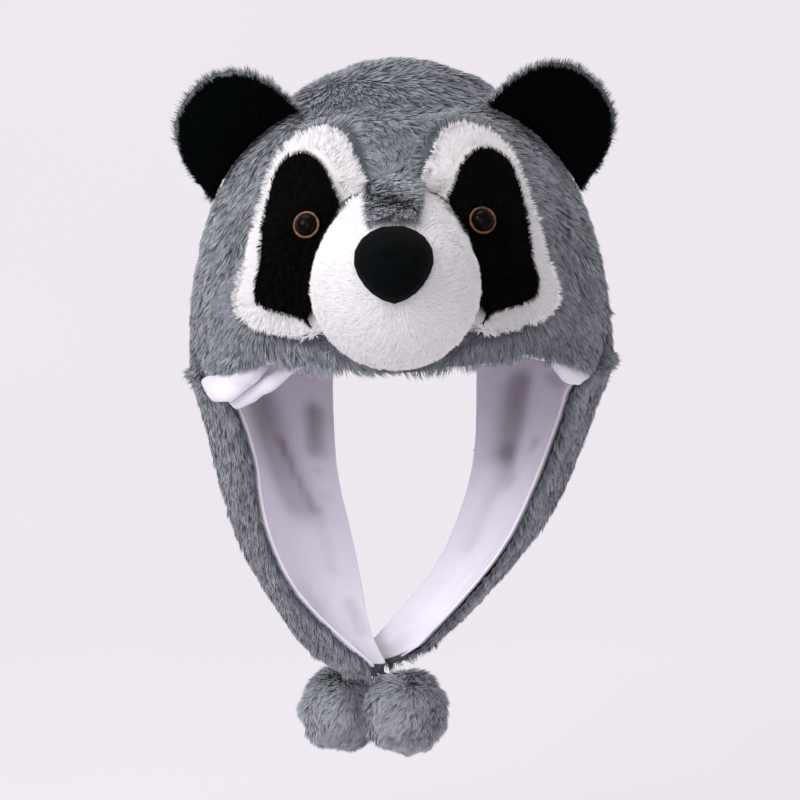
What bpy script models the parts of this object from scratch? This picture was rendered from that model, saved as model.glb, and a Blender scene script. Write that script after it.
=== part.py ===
"""Animal hat with ear flaps and pompoms, as an empty hat that keeps the form it is worn in.

Metres, +Z up. The hat faces -Y, so the wearer's left is +X. The origin is the top of the head hollow.
Every wall is a slab between two surfaces that are worked out from the sizes below.
"""

import math

import bmesh
import bpy
from mathutils import Vector
from mathutils.geometry import delaunay_2d_cdt

# The cap, measured outside the pile.
CROWN_HALF_WIDTH = 0.117
CROWN_FRONT = 0.122
CROWN_BACK = 0.112
DOME_HEIGHT = 0.150
PLAN_POWER = 2.1
SKIRT = 0.020
PLUSH = 0.0075
LINING = 0.0015
LINING_GAP = 0.0016
GAP = 0.0005
RIM_GAP = 0.0008
CREASE_DEPTH = 0.0030
CREASE_WIDTH = 0.0070
CORNER_FLARE = 0.0040
CORNER_TURN = 60.0
CORNER_SPREAD = 12.0

# The face.
LAYER_GAP = 0.0008
SURROUND_THICK = 0.0030
PATCH_THICK = 0.0020
BRIDGE_THICK = 0.0020
FACE_STEP = 0.011
MUZZLE_HALF_WIDTH = 0.0445
MUZZLE_HALF_HEIGHT = 0.043
MUZZLE_HALF_DEPTH = 0.046
MUZZLE_DROP = 0.118
MUZZLE_OUT = 0.006
ROOT_HALF_WIDTH = 0.043
ROOT_UP = 0.053
ROOT_DOWN = 0.041
ROOT_CLEARANCE = 0.0020
NOSE_SIZE = 0.0192
NOSE_THICK = 0.0140
NOSE_RISE = 0.0145
BRIDGE_HALF_WIDTH = 0.0135
EYE_ACROSS = 0.0415
EYE_DROP = 0.089
EYE_RADIUS = 0.0050
EYE_BULGE = 0.0042
RING_WIRE = 0.0010

# The ears.
EAR_HEIGHT = 0.0445
EAR_MARGIN = 0.0050
EAR_FRONT_THICK = 0.0045
EAR_BACK_THICK = 0.0060
EAR_LEVELS = (0.39, 0.66)
EAR_FOOT = 0.0040
EAR_LEAN = 0.0060
EAR_CUP = 0.0030
EAR_PUFF = 0.0030
EAR_POWER = 2.4

# The flaps and the pompoms.
FLAP_LENGTH = 0.172
FLAP_PLUSH = 0.0060
FLAP_TIP_THIN = 0.55
FLAP_FRONT_TURN = 58.0
FLAP_BACK_TURN = 159.0
FLAP_ROWS = 17
POMPOM_HEAD = 0.0180
POMPOM_LOCK = 0.0052
POMPOM_PRESSED = 0.35

TOP = LINING + LINING_GAP + PLUSH
WIDEST = TOP - DOME_HEIGHT

# The hem below the widest level: degrees from the front, share of SKIRT.
HEM = [
    ("turn", "drop"),
    (0, 0.62),
    (20, 0.52),
    (38, 0.32),
    (50, 0.70),
    (60, 1.00),
    (75, 0.93),
    (95, 0.92),
    (150, 1.08),
    (180, 1.20),
]

# The seam between the panels: share of the way down the dome, degrees from the front where it lies.
SEAM = [
    ("level", "turn"),
    (0.385, 48),
    (0.45, 61),
    (0.55, 74),
    (0.65, 82),
    (0.75, 85),
    (0.85, 85),
    (0.93, 83),
    (1.0, 79),
    (1.5, 70),
    (2.0, 60),
]

# The white panel beside the nose: shares of CROWN_HALF_WIDTH across and of DOME_HEIGHT above the widest level.
SURROUND = [
    ("across", "up"),
    (0.125, 0.585),
    (0.14, 0.65),
    (0.18, 0.73),
    (0.27, 0.76),
    (0.39, 0.735),
    (0.49, 0.665),
    (0.555, 0.56),
    (0.605, 0.435),
    (0.65, 0.295),
    (0.70, 0.18),
    (0.68, 0.10),
    (0.56, 0.06),
    (0.42, 0.035),
    (0.30, 0.015),
]
SURROUND_ROOT = (142.0, 22.0)

# The black patch round the eye, in the same shares.
PATCH = [
    ("across", "up"),
    (0.245, 0.49),
    (0.245, 0.57),
    (0.29, 0.635),
    (0.35, 0.665),
    (0.42, 0.655),
    (0.475, 0.615),
    (0.51, 0.55),
    (0.54, 0.46),
    (0.56, 0.37),
    (0.57, 0.28),
    (0.60, 0.19),
    (0.565, 0.14),
    (0.47, 0.12),
    (0.38, 0.095),
]
PATCH_ROOT = (120.0, 50.0)

# The nose's outline: degrees from straight up, share of NOSE_SIZE.
NOSE = [
    ("turn", "reach"),
    (0, 0.92),
    (35, 0.98),
    (65, 1.04),
    (90, 1.02),
    (120, 0.93),
    (150, 0.94),
    (180, 1.02),
]

# The flaps in level sections: share of FLAP_LENGTH below the hem, then the front edge, the outermost
# fold and the back edge. Across is a share of CROWN_HALF_WIDTH, deep of CROWN_FRONT.
FLAP_COLUMNS = ("drop", "front_across", "front_deep", "fold_across", "fold_deep", "back_across", "back_deep")
RIGHT_FLAP = [
    (0.060, 0.805, -0.500, 0.975, 0.000, 0.385, 0.830),
    (0.125, 0.760, -0.475, 0.945, -0.008, 0.385, 0.775),
    (0.260, 0.705, -0.430, 0.900, -0.020, 0.376, 0.655),
    (0.400, 0.688, -0.385, 0.855, -0.050, 0.355, 0.530),
    (0.535, 0.640, -0.330, 0.795, -0.075, 0.300, 0.390),
    (0.670, 0.555, -0.265, 0.700, -0.090, 0.250, 0.265),
    (0.775, 0.435, -0.225, 0.610, -0.100, 0.220, 0.175),
    (0.860, 0.305, -0.200, 0.535, -0.090, 0.190, 0.100),
    (0.930, 0.195, -0.180, 0.450, -0.085, 0.135, 0.040),
    (0.985, 0.115, -0.160, 0.310, -0.090, 0.085, -0.015),
]
LEFT_FLAP = [
    (0.060, 0.800, -0.505, 0.968, 0.000, 0.400, 0.835),
    (0.125, 0.770, -0.480, 0.928, 0.000, 0.395, 0.780),
    (0.260, 0.700, -0.425, 0.850, 0.000, 0.385, 0.670),
    (0.400, 0.615, -0.360, 0.765, 0.005, 0.350, 0.550),
    (0.540, 0.520, -0.270, 0.645, 0.030, 0.270, 0.430),
    (0.670, 0.395, -0.170, 0.490, 0.060, 0.165, 0.325),
    (0.790, 0.245, -0.075, 0.335, 0.085, 0.000, 0.265),
    (0.880, 0.125, 0.010, 0.205, 0.125, -0.140, 0.235),
    (0.945, 0.030, 0.070, 0.085, 0.155, -0.235, 0.210),
    (0.995, -0.120, 0.100, -0.110, 0.160, -0.270, 0.175),
]
RIGHT_POMPOM_WAY = (-0.78, -0.08, -0.62)
LEFT_POMPOM_WAY = (-0.72, -0.16, -0.68)

GREY = (0.19, 0.20, 0.215)
PALE_GREY = (0.42, 0.43, 0.45)
WHITE = (0.86, 0.85, 0.84)
BLACK = (0.006, 0.007, 0.008)
BROWN = (0.30, 0.12, 0.03)
CREAM = (0.78, 0.76, 0.80)


def rows_of(table: list) -> list:
    """The table's rows without its line of column names."""
    return table[1:]


def smooth_value(table: list, where: float) -> float:
    """The table's second column at this value of its first, on a smooth curve through the rows."""
    rows = rows_of(table)
    if where <= rows[0][0]:
        return rows[0][1]
    for (x0, y0), (x1, y1) in zip(rows, rows[1:]):
        if where <= x1:
            share = (where - x0) / (x1 - x0)
            share = share * share * (3 - 2 * share)
            return y0 + (y1 - y0) * share
    return rows[-1][1]


# The cap's surface.


def hem_drop(turn: float) -> float:
    """How far the hem lies below the widest level at this many degrees from the front."""
    return SKIRT * smooth_value(HEM, abs((turn + 180) % 360 - 180))


def flare(turn: float, level: float) -> float:
    """How far the front corners stand out near the hem."""
    away = (abs((turn + 180) % 360 - 180) - CORNER_TURN) / CORNER_SPREAD
    return CORNER_FLARE * math.exp(-away * away) * max(level - 1, 0) ** 2


def cap_point(turn: float, level: float, inset: float = 0.0) -> Vector:
    """A point of the cap: 0 degrees is the front and 90 the wearer's left, level 0 the top, 1 the widest, 2 the hem."""
    inset -= flare(turn, level)
    arc = min(level, 1.0) * math.pi / 2
    share = math.sin(arc)
    across, along = math.sin(math.radians(turn)), math.cos(math.radians(turn))
    deep = (CROWN_FRONT if along > 0 else CROWN_BACK) - inset
    x = (CROWN_HALF_WIDTH - inset) * math.copysign(abs(across) ** (2 / PLAN_POWER), across)
    y = -deep * math.copysign(abs(along) ** (2 / PLAN_POWER), along)
    z = WIDEST + (DOME_HEIGHT - inset) * math.cos(arc) - max(level - 1, 0) * hem_drop(turn)
    return Vector((x * share, y * share, z))


def cap_share(point: Vector) -> float:
    """Below 1 inside the cap's outer surface and above 1 outside it."""
    deep = CROWN_FRONT if point.y < 0 else CROWN_BACK
    plan = abs(point.x / CROWN_HALF_WIDTH) ** PLAN_POWER + abs(point.y / deep) ** PLAN_POWER
    rise = max(point.z - WIDEST, 0) / DOME_HEIGHT
    return plan ** (2 / PLAN_POWER) + rise * rise


def cap_normal(point: Vector) -> Vector:
    """The outward direction of the cap's surface at this point."""
    step = 1e-5
    slope = [cap_share(point + Vector(axis) * step) - cap_share(point - Vector(axis) * step) for axis in AXES]
    return Vector(slope).normalized()


def face_point(x: float, z: float, out: float) -> Vector:
    """The point of the front, seen from straight ahead at x and z, this far outside the cap."""
    rise = min(max(z - WIDEST, 0) / DOME_HEIGHT, 0.999)
    share = (1 - rise * rise) ** (PLAN_POWER / 2) - abs(x / CROWN_HALF_WIDTH) ** PLAN_POWER
    point = Vector((x, -CROWN_FRONT * max(share, 0.0) ** (1 / PLAN_POWER), z))
    return point + cap_normal(point) * out


def clear_of_cap(point: Vector, way: Vector, gap: float) -> Vector:
    """The point moved along the way until it lies this far outside the cap."""
    near, far = 0.0, CROWN_HALF_WIDTH
    for _ in range(40):
        middle = (near + far) / 2
        near, far = (middle, far) if cap_share(point + way * middle) < 1 else (near, middle)
    return point + way * (far + gap)


AXES = ((1, 0, 0), (0, 1, 0), (0, 0, 1))


# Bodies.


def material(name: str, colour: tuple, roughness: float) -> bpy.types.Material:
    made = bpy.data.materials.new(name)
    made.use_nodes = True
    shader = made.node_tree.nodes["Principled BSDF"]
    shader.inputs["Base Color"].default_value = (*colour, 1)
    shader.inputs["Roughness"].default_value = roughness
    made.diffuse_color = (*colour, 1)
    return made


def body(name: str, points: list, faces: list, colour: tuple, roughness: float = 0.9) -> bpy.types.Object:
    """One closed solid from points and faces, facing out."""
    mesh = bpy.data.meshes.new(name)
    mesh.from_pydata([tuple(point) for point in points], [], faces)
    work = bmesh.new()
    work.from_mesh(mesh)
    bmesh.ops.remove_doubles(work, verts=work.verts, dist=1e-6)
    bmesh.ops.dissolve_degenerate(work, edges=work.edges, dist=1e-7)
    bmesh.ops.recalc_face_normals(work, faces=work.faces)
    work.to_mesh(mesh)
    work.free()
    for polygon in mesh.polygons:
        polygon.use_smooth = True
    mesh.set_sharp_from_angle(angle=math.radians(50))
    made = bpy.data.objects.new(name, mesh)
    made.data.materials.append(material(name, colour, roughness))
    PARTS.objects.link(made)
    return made


def slab(name: str, faces: list, outer: list, inner: list, colour: tuple) -> bpy.types.Object:
    """The solid between two surfaces of the same faces, walled along their open edges."""
    count = len(outer)
    triangles = [t for f in faces for t in [(f[0], f[i], f[i + 1]) for i in range(1, len(f) - 1)]]
    edges = {(t[i], t[(i + 1) % 3]) for t in triangles for i in range(3)}
    walls = [(b, a, a + count, b + count) for a, b in edges if (b, a) not in edges]
    back = [tuple(i + count for i in reversed(t)) for t in triangles]
    return body(name, list(outer) + list(inner), triangles + back + sorted(walls), colour)


def grid_faces(rows: int, columns: int, closed: bool = False) -> list:
    """Quads of a grid of points listed row by row."""
    last = columns if closed else columns - 1
    return [
        (r * columns + c, r * columns + (c + 1) % columns, (r + 1) * columns + (c + 1) % columns, (r + 1) * columns + c)
        for r in range(rows - 1)
        for c in range(last)
    ]


def closed_rings(name: str, first: Vector, rings: list, last: Vector, colour: tuple, roughness: float = 0.9):
    """A closed solid through rings of points, with a pole at each end."""
    count = len(rings[0])
    points = [first] + [point for ring in rings for point in ring] + [last]
    faces = [tuple(i + 1 for i in face) for face in grid_faces(len(rings), count, True)]
    end = len(points) - 1
    for c in range(count):
        following = (c + 1) % count
        faces.append((0, 1 + following, 1 + c))
        faces.append((end, end - count + c, end - count + following))
    return body(name, points, faces, colour, roughness)


def turned(name: str, profile: list, steps: int, origin: Vector, axis: Vector, colour: tuple, roughness: float):
    """A closed ring turned about an axis, from (radius, height) pairs."""
    side = axis.orthogonal().normalized()
    other = axis.cross(side)
    points, rows = [], len(profile)
    for radius, height in profile:
        for step in range(steps):
            angle = 2 * math.pi * step / steps
            points.append(origin + axis * height + (side * math.cos(angle) + other * math.sin(angle)) * radius)
    faces = grid_faces(rows, steps, True)
    faces += [((rows - 1) * steps + c, (rows - 1) * steps + (c + 1) % steps, (c + 1) % steps, c) for c in range(steps)]
    return body(name, points, faces, colour, roughness)


# The cap's pieces.


def seam_turn(level: float) -> float:
    return smooth_value(SEAM, level)


def crease(turn: float, level: float) -> float:
    """How deep the pile is drawn in beside the seam."""
    start = rows_of(SEAM)[0][0]
    turn = abs((turn + 180) % 360 - 180)
    share = math.sin(min(level, 1.0) * math.pi / 2)
    beside = abs(turn - seam_turn(level)) * math.pi / 180 * CROWN_HALF_WIDTH * share
    above = abs(level - start) * math.pi / 2 * DOME_HEIGHT
    if level <= start:
        beside = max(turn - seam_turn(start), 0) * math.pi / 180 * CROWN_HALF_WIDTH * share
        away = math.hypot(above, beside)
    else:
        away = min(beside, above) if turn < seam_turn(level) else beside
    return CREASE_DEPTH * math.exp(-away / CREASE_WIDTH)


def seam_shift(level: float) -> float:
    """Half the seam's gap, in degrees, at this level."""
    return math.degrees(GAP / 2 / (CROWN_HALF_WIDTH * math.sin(min(level, 1.0) * math.pi / 2)))


def panel_points(places: list) -> tuple:
    outer = [cap_point(turn, level, crease(turn, level)) for turn, level in places]
    return outer, [cap_point(turn, level, PLUSH) for turn, level in places]


def make_face_panel() -> None:
    columns = 15
    levels = [row[0] for row in rows_of(SEAM)]
    shift = GAP / 2 / (DOME_HEIGHT * math.pi / 2)
    places = []
    for row, level in enumerate(levels):
        reach = seam_turn(level) - seam_shift(level)
        level = level + shift if row == 0 else level
        places += [(reach * (2 * c / (columns - 1) - 1), level) for c in range(columns)]
    outer, inner = panel_points(places)
    slab("face_panel", grid_faces(len(levels), columns), outer, inner, GREY)


def make_crown_back() -> None:
    front, back = 8, 20
    levels = [row[0] for row in rows_of(SEAM)]
    top = levels[0]
    shift = GAP / 2 / (DOME_HEIGHT * math.pi / 2)
    edge = seam_turn(top)
    ring = [edge + (360 - 2 * edge) * c / back for c in range(back)]
    ring += [-edge + 2 * edge * c / front for c in range(front)]
    count = len(ring)
    places = [(0.0, 0.0)]
    for level in (top * 0.3, top * 0.65, top - shift):
        places += [(turn, level) for turn in ring]
    faces = [(0, 1 + (c + 1) % count, 1 + c) for c in range(count)]
    faces += [tuple(i + 1 for i in face) for face in grid_faces(3, count, True)]
    above = list(range(1 + 2 * count, 1 + 2 * count + back)) + [1 + 2 * count + back]
    for level in levels[1:]:
        start = seam_turn(level) + seam_shift(level)
        here = list(range(len(places), len(places) + back + 1))
        places += [(start + (360 - 2 * start) * c / back, level) for c in range(back + 1)]
        faces += [(above[c], above[c + 1], here[c + 1], here[c]) for c in range(back)]
        above = here
    outer, inner = panel_points(places)
    slab("crown_back", faces, outer, inner, GREY)


def make_crown_lining() -> None:
    count, levels = 32, (0.14, 0.28, 0.42, 0.56, 0.70, 0.84, 1.0, 1.5, 2.0)
    places = [(0.0, 0.0)] + [(360 * c / count, level) for level in levels for c in range(count)]
    faces = [(0, 1 + (c + 1) % count, 1 + c) for c in range(count)]
    faces += [tuple(i + 1 for i in face) for face in grid_faces(len(levels), count, True)]
    outer = [cap_point(turn, level, PLUSH + LINING_GAP) for turn, level in places]
    inner = [cap_point(turn, level, PLUSH + LINING_GAP + LINING) for turn, level in places]
    slab("crown_lining", faces, outer, inner, CREAM)


# The face's pieces.

MUZZLE_Z = TOP - MUZZLE_DROP
MUZZLE_Y = -CROWN_FRONT - MUZZLE_OUT
MUZZLE_OPENINGS = (14, 28, 42, 56, 68, 80)


def root_point(turn: float, clearance: float) -> tuple:
    """Across and height of the muzzle's seam at this many degrees from straight up."""
    angle = math.radians(turn)
    tall = (ROOT_UP if math.cos(angle) > 0 else ROOT_DOWN) + clearance
    return (ROOT_HALF_WIDTH + clearance) * math.sin(angle), MUZZLE_Z + tall * math.cos(angle)


def rounded(outline: list, between: int = 2) -> list:
    """A closed smooth curve through the outline's points."""
    count, made = len(outline), []
    for i in range(count):
        a, b, c, d = (Vector(outline[(i + k) % count]) for k in (-1, 0, 1, 2))
        for step in range(between):
            t = step / between
            made.append(0.5 * (2 * b + (c - a) * t + (2 * a - 5 * b + 4 * c - d) * t * t + (3 * b - a - 3 * c + d) * t**3))
    return made


def filled(outline: list, step: float) -> tuple:
    """Points and triangles that fill an outline, with more points inside it at this spacing."""
    lows = [min(point[axis] for point in outline) for axis in (0, 1)]
    highs = [max(point[axis] for point in outline) for axis in (0, 1)]
    inside = []
    for i in range(int((highs[0] - lows[0]) / step) + 1):
        for j in range(int((highs[1] - lows[1]) / step) + 1):
            place = Vector((lows[0] + (i + 0.5 + 0.5 * (j % 2)) * step, lows[1] + (j + 0.5) * step))
            if min((place - point).length for point in outline) > 0.55 * step:
                inside.append(place)
    count = len(outline)
    found = delaunay_2d_cdt(list(outline) + inside, [], [list(range(count))], 1, 1e-7)
    used = sorted({i for face in found[2] for i in face})
    place_of = {old: new for new, old in enumerate(used)}
    return [found[0][i] for i in used], [tuple(place_of[i] for i in face) for face in found[2]]


def make_face_sheet(name: str, table: list, root: tuple, clearance: float, low: float, thick: float, colour: tuple):
    """A patch of pile on the face beside the muzzle, on both sides."""
    outline = [(across * CROWN_HALF_WIDTH, WIDEST + up * DOME_HEIGHT) for across, up in rows_of(table)]
    first, last = root
    steps = 5
    outline += [root_point(first + (last - first) * c / (steps - 1), clearance) for c in range(steps)]
    points, faces = filled(rounded(outline), FACE_STEP)
    for side, sign in (("left", 1), ("right", -1)):
        outer = [face_point(sign * x, z, low + thick) for x, z in points]
        inner = [face_point(sign * x, z, low) for x, z in points]
        slab(f"{name}_{side}", faces if sign < 0 else [tuple(reversed(f)) for f in faces], outer, inner, colour)


def muzzle_front(x: float, z: float) -> float:
    """The muzzle's depth, seen from straight ahead."""
    share = 1 - (x / MUZZLE_HALF_WIDTH) ** 2 - ((z - MUZZLE_Z) / MUZZLE_HALF_HEIGHT) ** 2
    return MUZZLE_Y - MUZZLE_HALF_DEPTH * math.sqrt(max(share, 0.0))


def make_muzzle() -> None:
    count = 24
    turns = [360 * c / count for c in range(count)]
    rings = []
    for opening in MUZZLE_OPENINGS:
        wide, deep = math.sin(math.radians(opening)), math.cos(math.radians(opening))
        rings.append([
            Vector((
                MUZZLE_HALF_WIDTH * wide * math.sin(math.radians(turn)),
                MUZZLE_Y - MUZZLE_HALF_DEPTH * deep,
                MUZZLE_Z + MUZZLE_HALF_HEIGHT * wide * math.cos(math.radians(turn)),
            ))
            for turn in turns
        ])
    for share in (1.0, 0.66, 0.33):
        edge = [root_point(turn, 0.0) for turn in turns]
        rings.append([face_point(x * share, MUZZLE_Z + (z - MUZZLE_Z) * share, GAP) for x, z in edge])
    front = Vector((0, MUZZLE_Y - MUZZLE_HALF_DEPTH, MUZZLE_Z))
    closed_rings("muzzle", front, rings, face_point(0, MUZZLE_Z, GAP), WHITE)


def make_nose() -> None:
    count, centre = 20, MUZZLE_Z + NOSE_RISE
    turns = [360 * c / count for c in range(count)]
    edge = []
    for turn in turns:
        reach = NOSE_SIZE * smooth_value(NOSE, turn if turn <= 180 else 360 - turn)
        edge.append((reach * math.sin(math.radians(turn)), reach * math.cos(math.radians(turn))))
    seat = [Vector((x, muzzle_front(x, centre + z) - LAYER_GAP, centre + z)) for x, z in edge]
    inner = [Vector((0.5 * x, muzzle_front(0.5 * x, centre + 0.5 * z) - LAYER_GAP, centre + 0.5 * z)) for x, z in edge]
    rings = []
    for share in (0.35, 0.62, 0.84, 0.97):
        rise = NOSE_THICK * (1 - share**2.4) ** (1 / 2.4)
        rings.append([
            Vector((share * x, muzzle_front(share * x, centre + share * z) - LAYER_GAP - rise, centre + share * z)) for x, z in edge
        ])
    front = Vector((0, muzzle_front(0, centre) - LAYER_GAP - NOSE_THICK, centre))
    closed_rings("nose", front, rings + [seat, inner], Vector((0, muzzle_front(0, centre) - LAYER_GAP, centre)), BLACK)


def make_nose_bridge() -> None:
    """A strip over the top of the muzzle, from its seam to the nose."""
    columns, low = 5, GAP + 0.0003
    outer, inner = [], []
    nose_top = MUZZLE_Z + NOSE_RISE + NOSE_SIZE * rows_of(NOSE)[0][1] + GAP
    lowest = math.degrees(math.acos(min((nose_top + 0.001 - MUZZLE_Z) / MUZZLE_HALF_HEIGHT, 0.98)))
    ridge = 90 - MUZZLE_OPENINGS[-1]
    rows = [(0.06, ridge), (0.5, ridge)] + [(1.0, ridge + (lowest - ridge) * step / 5) for step in range(6)]
    for number, (along, opening) in enumerate(rows):
        across = 1 - 0.12 * number / (len(rows) - 1)
        for column in range(columns):
            x = BRIDGE_HALF_WIDTH * (2 * column / (columns - 1) - 1) * across
            bow = math.sqrt(1 - (x / MUZZLE_HALF_WIDTH) ** 2)
            tilt, rise = math.sin(math.radians(opening)), math.cos(math.radians(opening))
            seat = Vector((x, MUZZLE_Y - MUZZLE_HALF_DEPTH * bow * tilt, MUZZLE_Z + MUZZLE_HALF_HEIGHT * bow * rise))
            way = Vector((x / MUZZLE_HALF_WIDTH, -tilt * bow, rise * bow))
            if along < 1:
                root_z = MUZZLE_Z + ROOT_UP * math.sqrt(1 - (x / ROOT_HALF_WIDTH) ** 2)
                seat = face_point(x, root_z, GAP).lerp(seat, along)
            inner.append(seat + way * low)
            outer.append(seat + way * (low + BRIDGE_THICK))
    slab("nose_bridge", grid_faces(len(rows), columns), outer, inner, GREY)


def make_eyes() -> None:
    stack = 2 * LAYER_GAP + SURROUND_THICK + PATCH_THICK + GAP / 2
    for side, sign in (("left", 1), ("right", -1)):
        x, z = sign * EYE_ACROSS, TOP - EYE_DROP
        seat = face_point(x, z, stack)
        normal = cap_normal(face_point(x, z, 0))
        axis = (normal + Vector((0, -0.4, 0))).normalized()
        lean = math.sqrt(max(1 - axis.dot(normal) ** 2, 0))
        seat += axis * (0.9 * RING_WIRE + (EYE_RADIUS + RING_WIRE) * lean)
        wire = [
            (EYE_RADIUS + RING_WIRE + GAP / 2 + RING_WIRE * math.cos(a), RING_WIRE * math.sin(a))
            for a in (2 * math.pi * k / 6 for k in range(6))
        ]
        turned(f"eye_ring_{side}", wire, 16, seat, axis, BROWN, 0.3)
        side_way = axis.orthogonal().normalized()
        other = axis.cross(side_way)
        rings = []
        for opening in (18, 38, 58, 78, 90):
            wide, high = math.sin(math.radians(opening)), math.cos(math.radians(opening))
            rings.append([
                seat
                + axis * (EYE_BULGE * high)
                + (side_way * math.cos(math.tau * k / 16) + other * math.sin(math.tau * k / 16)) * (EYE_RADIUS * wide)
                for k in range(16)
            ])
        closed_rings(f"eye_{side}", seat + axis * EYE_BULGE, rings, seat - axis * (0.4 * RING_WIRE), BLACK, 0.08)


# The ears.


def ear_surface(sign: int, offset: float, margin: float, columns: int, rows: int, bulge: float) -> list:
    """A sheet that stands on the cap along the seam, this far behind it, as a grid's points row by row."""
    first, last = EAR_LEVELS
    heel, toe = (cap_point(sign * seam_turn(level), level) for level in EAR_LEVELS)
    along = toe - heel
    back = along.y / math.hypot(along.x, along.z)
    along = Vector((along.x, 0, along.z))
    length = along.length
    along /= length
    up = Vector((-sign * along.z, 0, sign * along.x))
    up = up if up.z > 0 else -up

    def placed(point: Vector) -> Vector:
        run, rise = (point - heel).dot(along), max((point - heel).dot(up), 0) / EAR_HEIGHT
        cup = EAR_CUP * (2 * run / length - 1) ** 2
        return Vector((point.x, heel.y + run * back + offset + (EAR_LEAN - cup) * rise, point.z))

    inset = CREASE_DEPTH * math.exp(-abs(offset) / CREASE_WIDTH) - GAP
    spread = 0.5 * margin / length
    edges = []
    for column in range(columns):
        share = (1 - math.cos(math.pi * column / (columns - 1))) / 2
        reach = share * (1 + 2 * spread) - spread
        level = first + (last - first) * reach
        seam = cap_point(sign * seam_turn(level), level)
        foot = placed(clear_of_cap(placed(seam) - up * 0.02, up, -inset))
        place = 2 * share - 1
        tall = max((1 - abs(place) ** EAR_POWER), 0.0) ** (1 / EAR_POWER) * (EAR_HEIGHT + margin)
        top = heel + along * (length * reach) + up * tall
        if (top - foot).dot(up) < EAR_FOOT:
            top = foot + up * EAR_FOOT
        edges.append((foot, placed(top), 1 - place * place))
    points = []
    for row in range(rows):
        share = row / (rows - 1)
        for foot, top, middle in edges:
            puff = bulge * math.sin(math.pi * share) * middle
            points.append(placed(foot.lerp(top, share)) + Vector((0, puff, 0)))
    return points


def make_ears() -> None:
    columns, rows = 13, 5
    faces = grid_faces(rows, columns)
    for side, sign in (("left", 1), ("right", -1)):
        front = ear_surface(sign, -EAR_FRONT_THICK, 0.0, columns, rows, -EAR_PUFF)
        middle = ear_surface(sign, -GAP / 2, 0.0, columns, rows, 0.0)
        slab(f"ear_front_{side}", faces, front, middle, BLACK)
        front = ear_surface(sign, GAP / 2, EAR_MARGIN, columns, rows, 0.0)
        back = ear_surface(sign, EAR_BACK_THICK, EAR_MARGIN, columns, rows, EAR_PUFF)
        slab(f"ear_back_{side}", faces, front, back, PALE_GREY)


# The flaps.


def arc_between(fold: tuple, edge: tuple, share: float, turn: float) -> tuple:
    """A point of the curve from a flap's fold to one of its edges, in plan."""
    angle = turn * share
    x = fold[0] + (edge[0] - fold[0]) * (1 - math.cos(angle)) / (1 - math.cos(turn))
    y = fold[1] + (edge[1] - fold[1]) * math.sin(angle) / math.sin(turn)
    return x, y


def refined(rows: list, count: int) -> list:
    """This many rows on smooth curves through the given ones."""
    made = []
    for number in range(count):
        where = number * (len(rows) - 1) / (count - 1)
        k = min(int(where), len(rows) - 2)
        t = where - k
        four = [rows[min(max(k + step, 0), len(rows) - 1)] for step in (-1, 0, 1, 2)]
        made.append([
            0.5 * (2 * b + (c - a) * t + (2 * a - 5 * b + 4 * c - d) * t * t + (3 * b - a - 3 * c + d) * t**3)
            for a, b, c, d in zip(*four)
        ])
    return made


def flap_rows(sign: int, table: list, columns: int) -> list:
    """The flap's outer surface, row by row from the hem down."""
    places = [2 * c / (columns - 1) - 1 for c in range(columns)]
    first = []
    for place in places:
        turn = 90 + place * ((90 - FLAP_FRONT_TURN) if place < 0 else (FLAP_BACK_TURN - 90))
        point = cap_point(turn, 2.0)
        first.append(Vector((sign * point.x, point.y, point.z - RIM_GAP)))
    rows = [first]
    for row in table:
        cells = dict(zip(FLAP_COLUMNS, row))
        fold, front, back = (
            (cells[f"{part}_across"] * CROWN_HALF_WIDTH, cells[f"{part}_deep"] * CROWN_FRONT)
            for part in ("fold", "front", "back")
        )
        points = []
        for place, above in zip(places, first):
            turn = math.radians(48 if place < 0 else 69)
            x, y = arc_between(fold, front if place < 0 else back, abs(place), turn)
            points.append(Vector((sign * x, y, above.z * (1 - cells["drop"]) + (above.z - FLAP_LENGTH) * cells["drop"])))
        rows.append(points)
    return refined(rows, FLAP_ROWS)


def grid_normals(rows: list, sign: int) -> list:
    """The outward direction at each point of a grid, level along its first row."""
    made = []
    for r, row in enumerate(rows):
        for c in range(len(row)):
            across = row[min(c + 1, len(row) - 1)] - row[max(c - 1, 0)]
            down = rows[min(r + 1, len(rows) - 1)][c] - rows[max(r - 1, 0)][c]
            normal = sign * down.cross(across)
            normal.z *= min(r, 1)
            made.append(normal.normalized())
    return made


def seated_ball(points: list, start: Vector, way: Vector, reach: float) -> Vector:
    """The centre, along the way from the start, at which a ball of this reach just clears the points."""
    furthest = 0.0
    for point in points:
        offset = point - start
        along = offset.dot(way)
        inside = along * along - offset.length_squared + reach * reach
        if inside > 0:
            furthest = max(furthest, along + math.sqrt(inside))
    return start + way * furthest


def make_pompom(name: str, centre: Vector, seat: Vector) -> None:
    """A ball of pointed locks, fused to its head and pressed short where they face its seat."""
    work = bmesh.new()
    bmesh.ops.create_icosphere(work, subdivisions=3, radius=1.0)
    points = [centre + vertex.co * POMPOM_HEAD for vertex in work.verts]
    faces = []
    for number, face in enumerate(work.faces):
        way = face.calc_center_median().normalized()
        pressed = way.dot((seat - centre).normalized()) > 0.5
        long = POMPOM_PRESSED if pressed else 1 - 0.35 * ((number * 0.618034) % 1)
        corners = [vertex.index for vertex in face.verts]
        faces += [(corners[i], corners[(i + 1) % 3], len(points)) for i in range(3)]
        points.append(centre + way * (POMPOM_HEAD + POMPOM_LOCK * long))
    work.free()
    body(name, points, faces, GREY)


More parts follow.
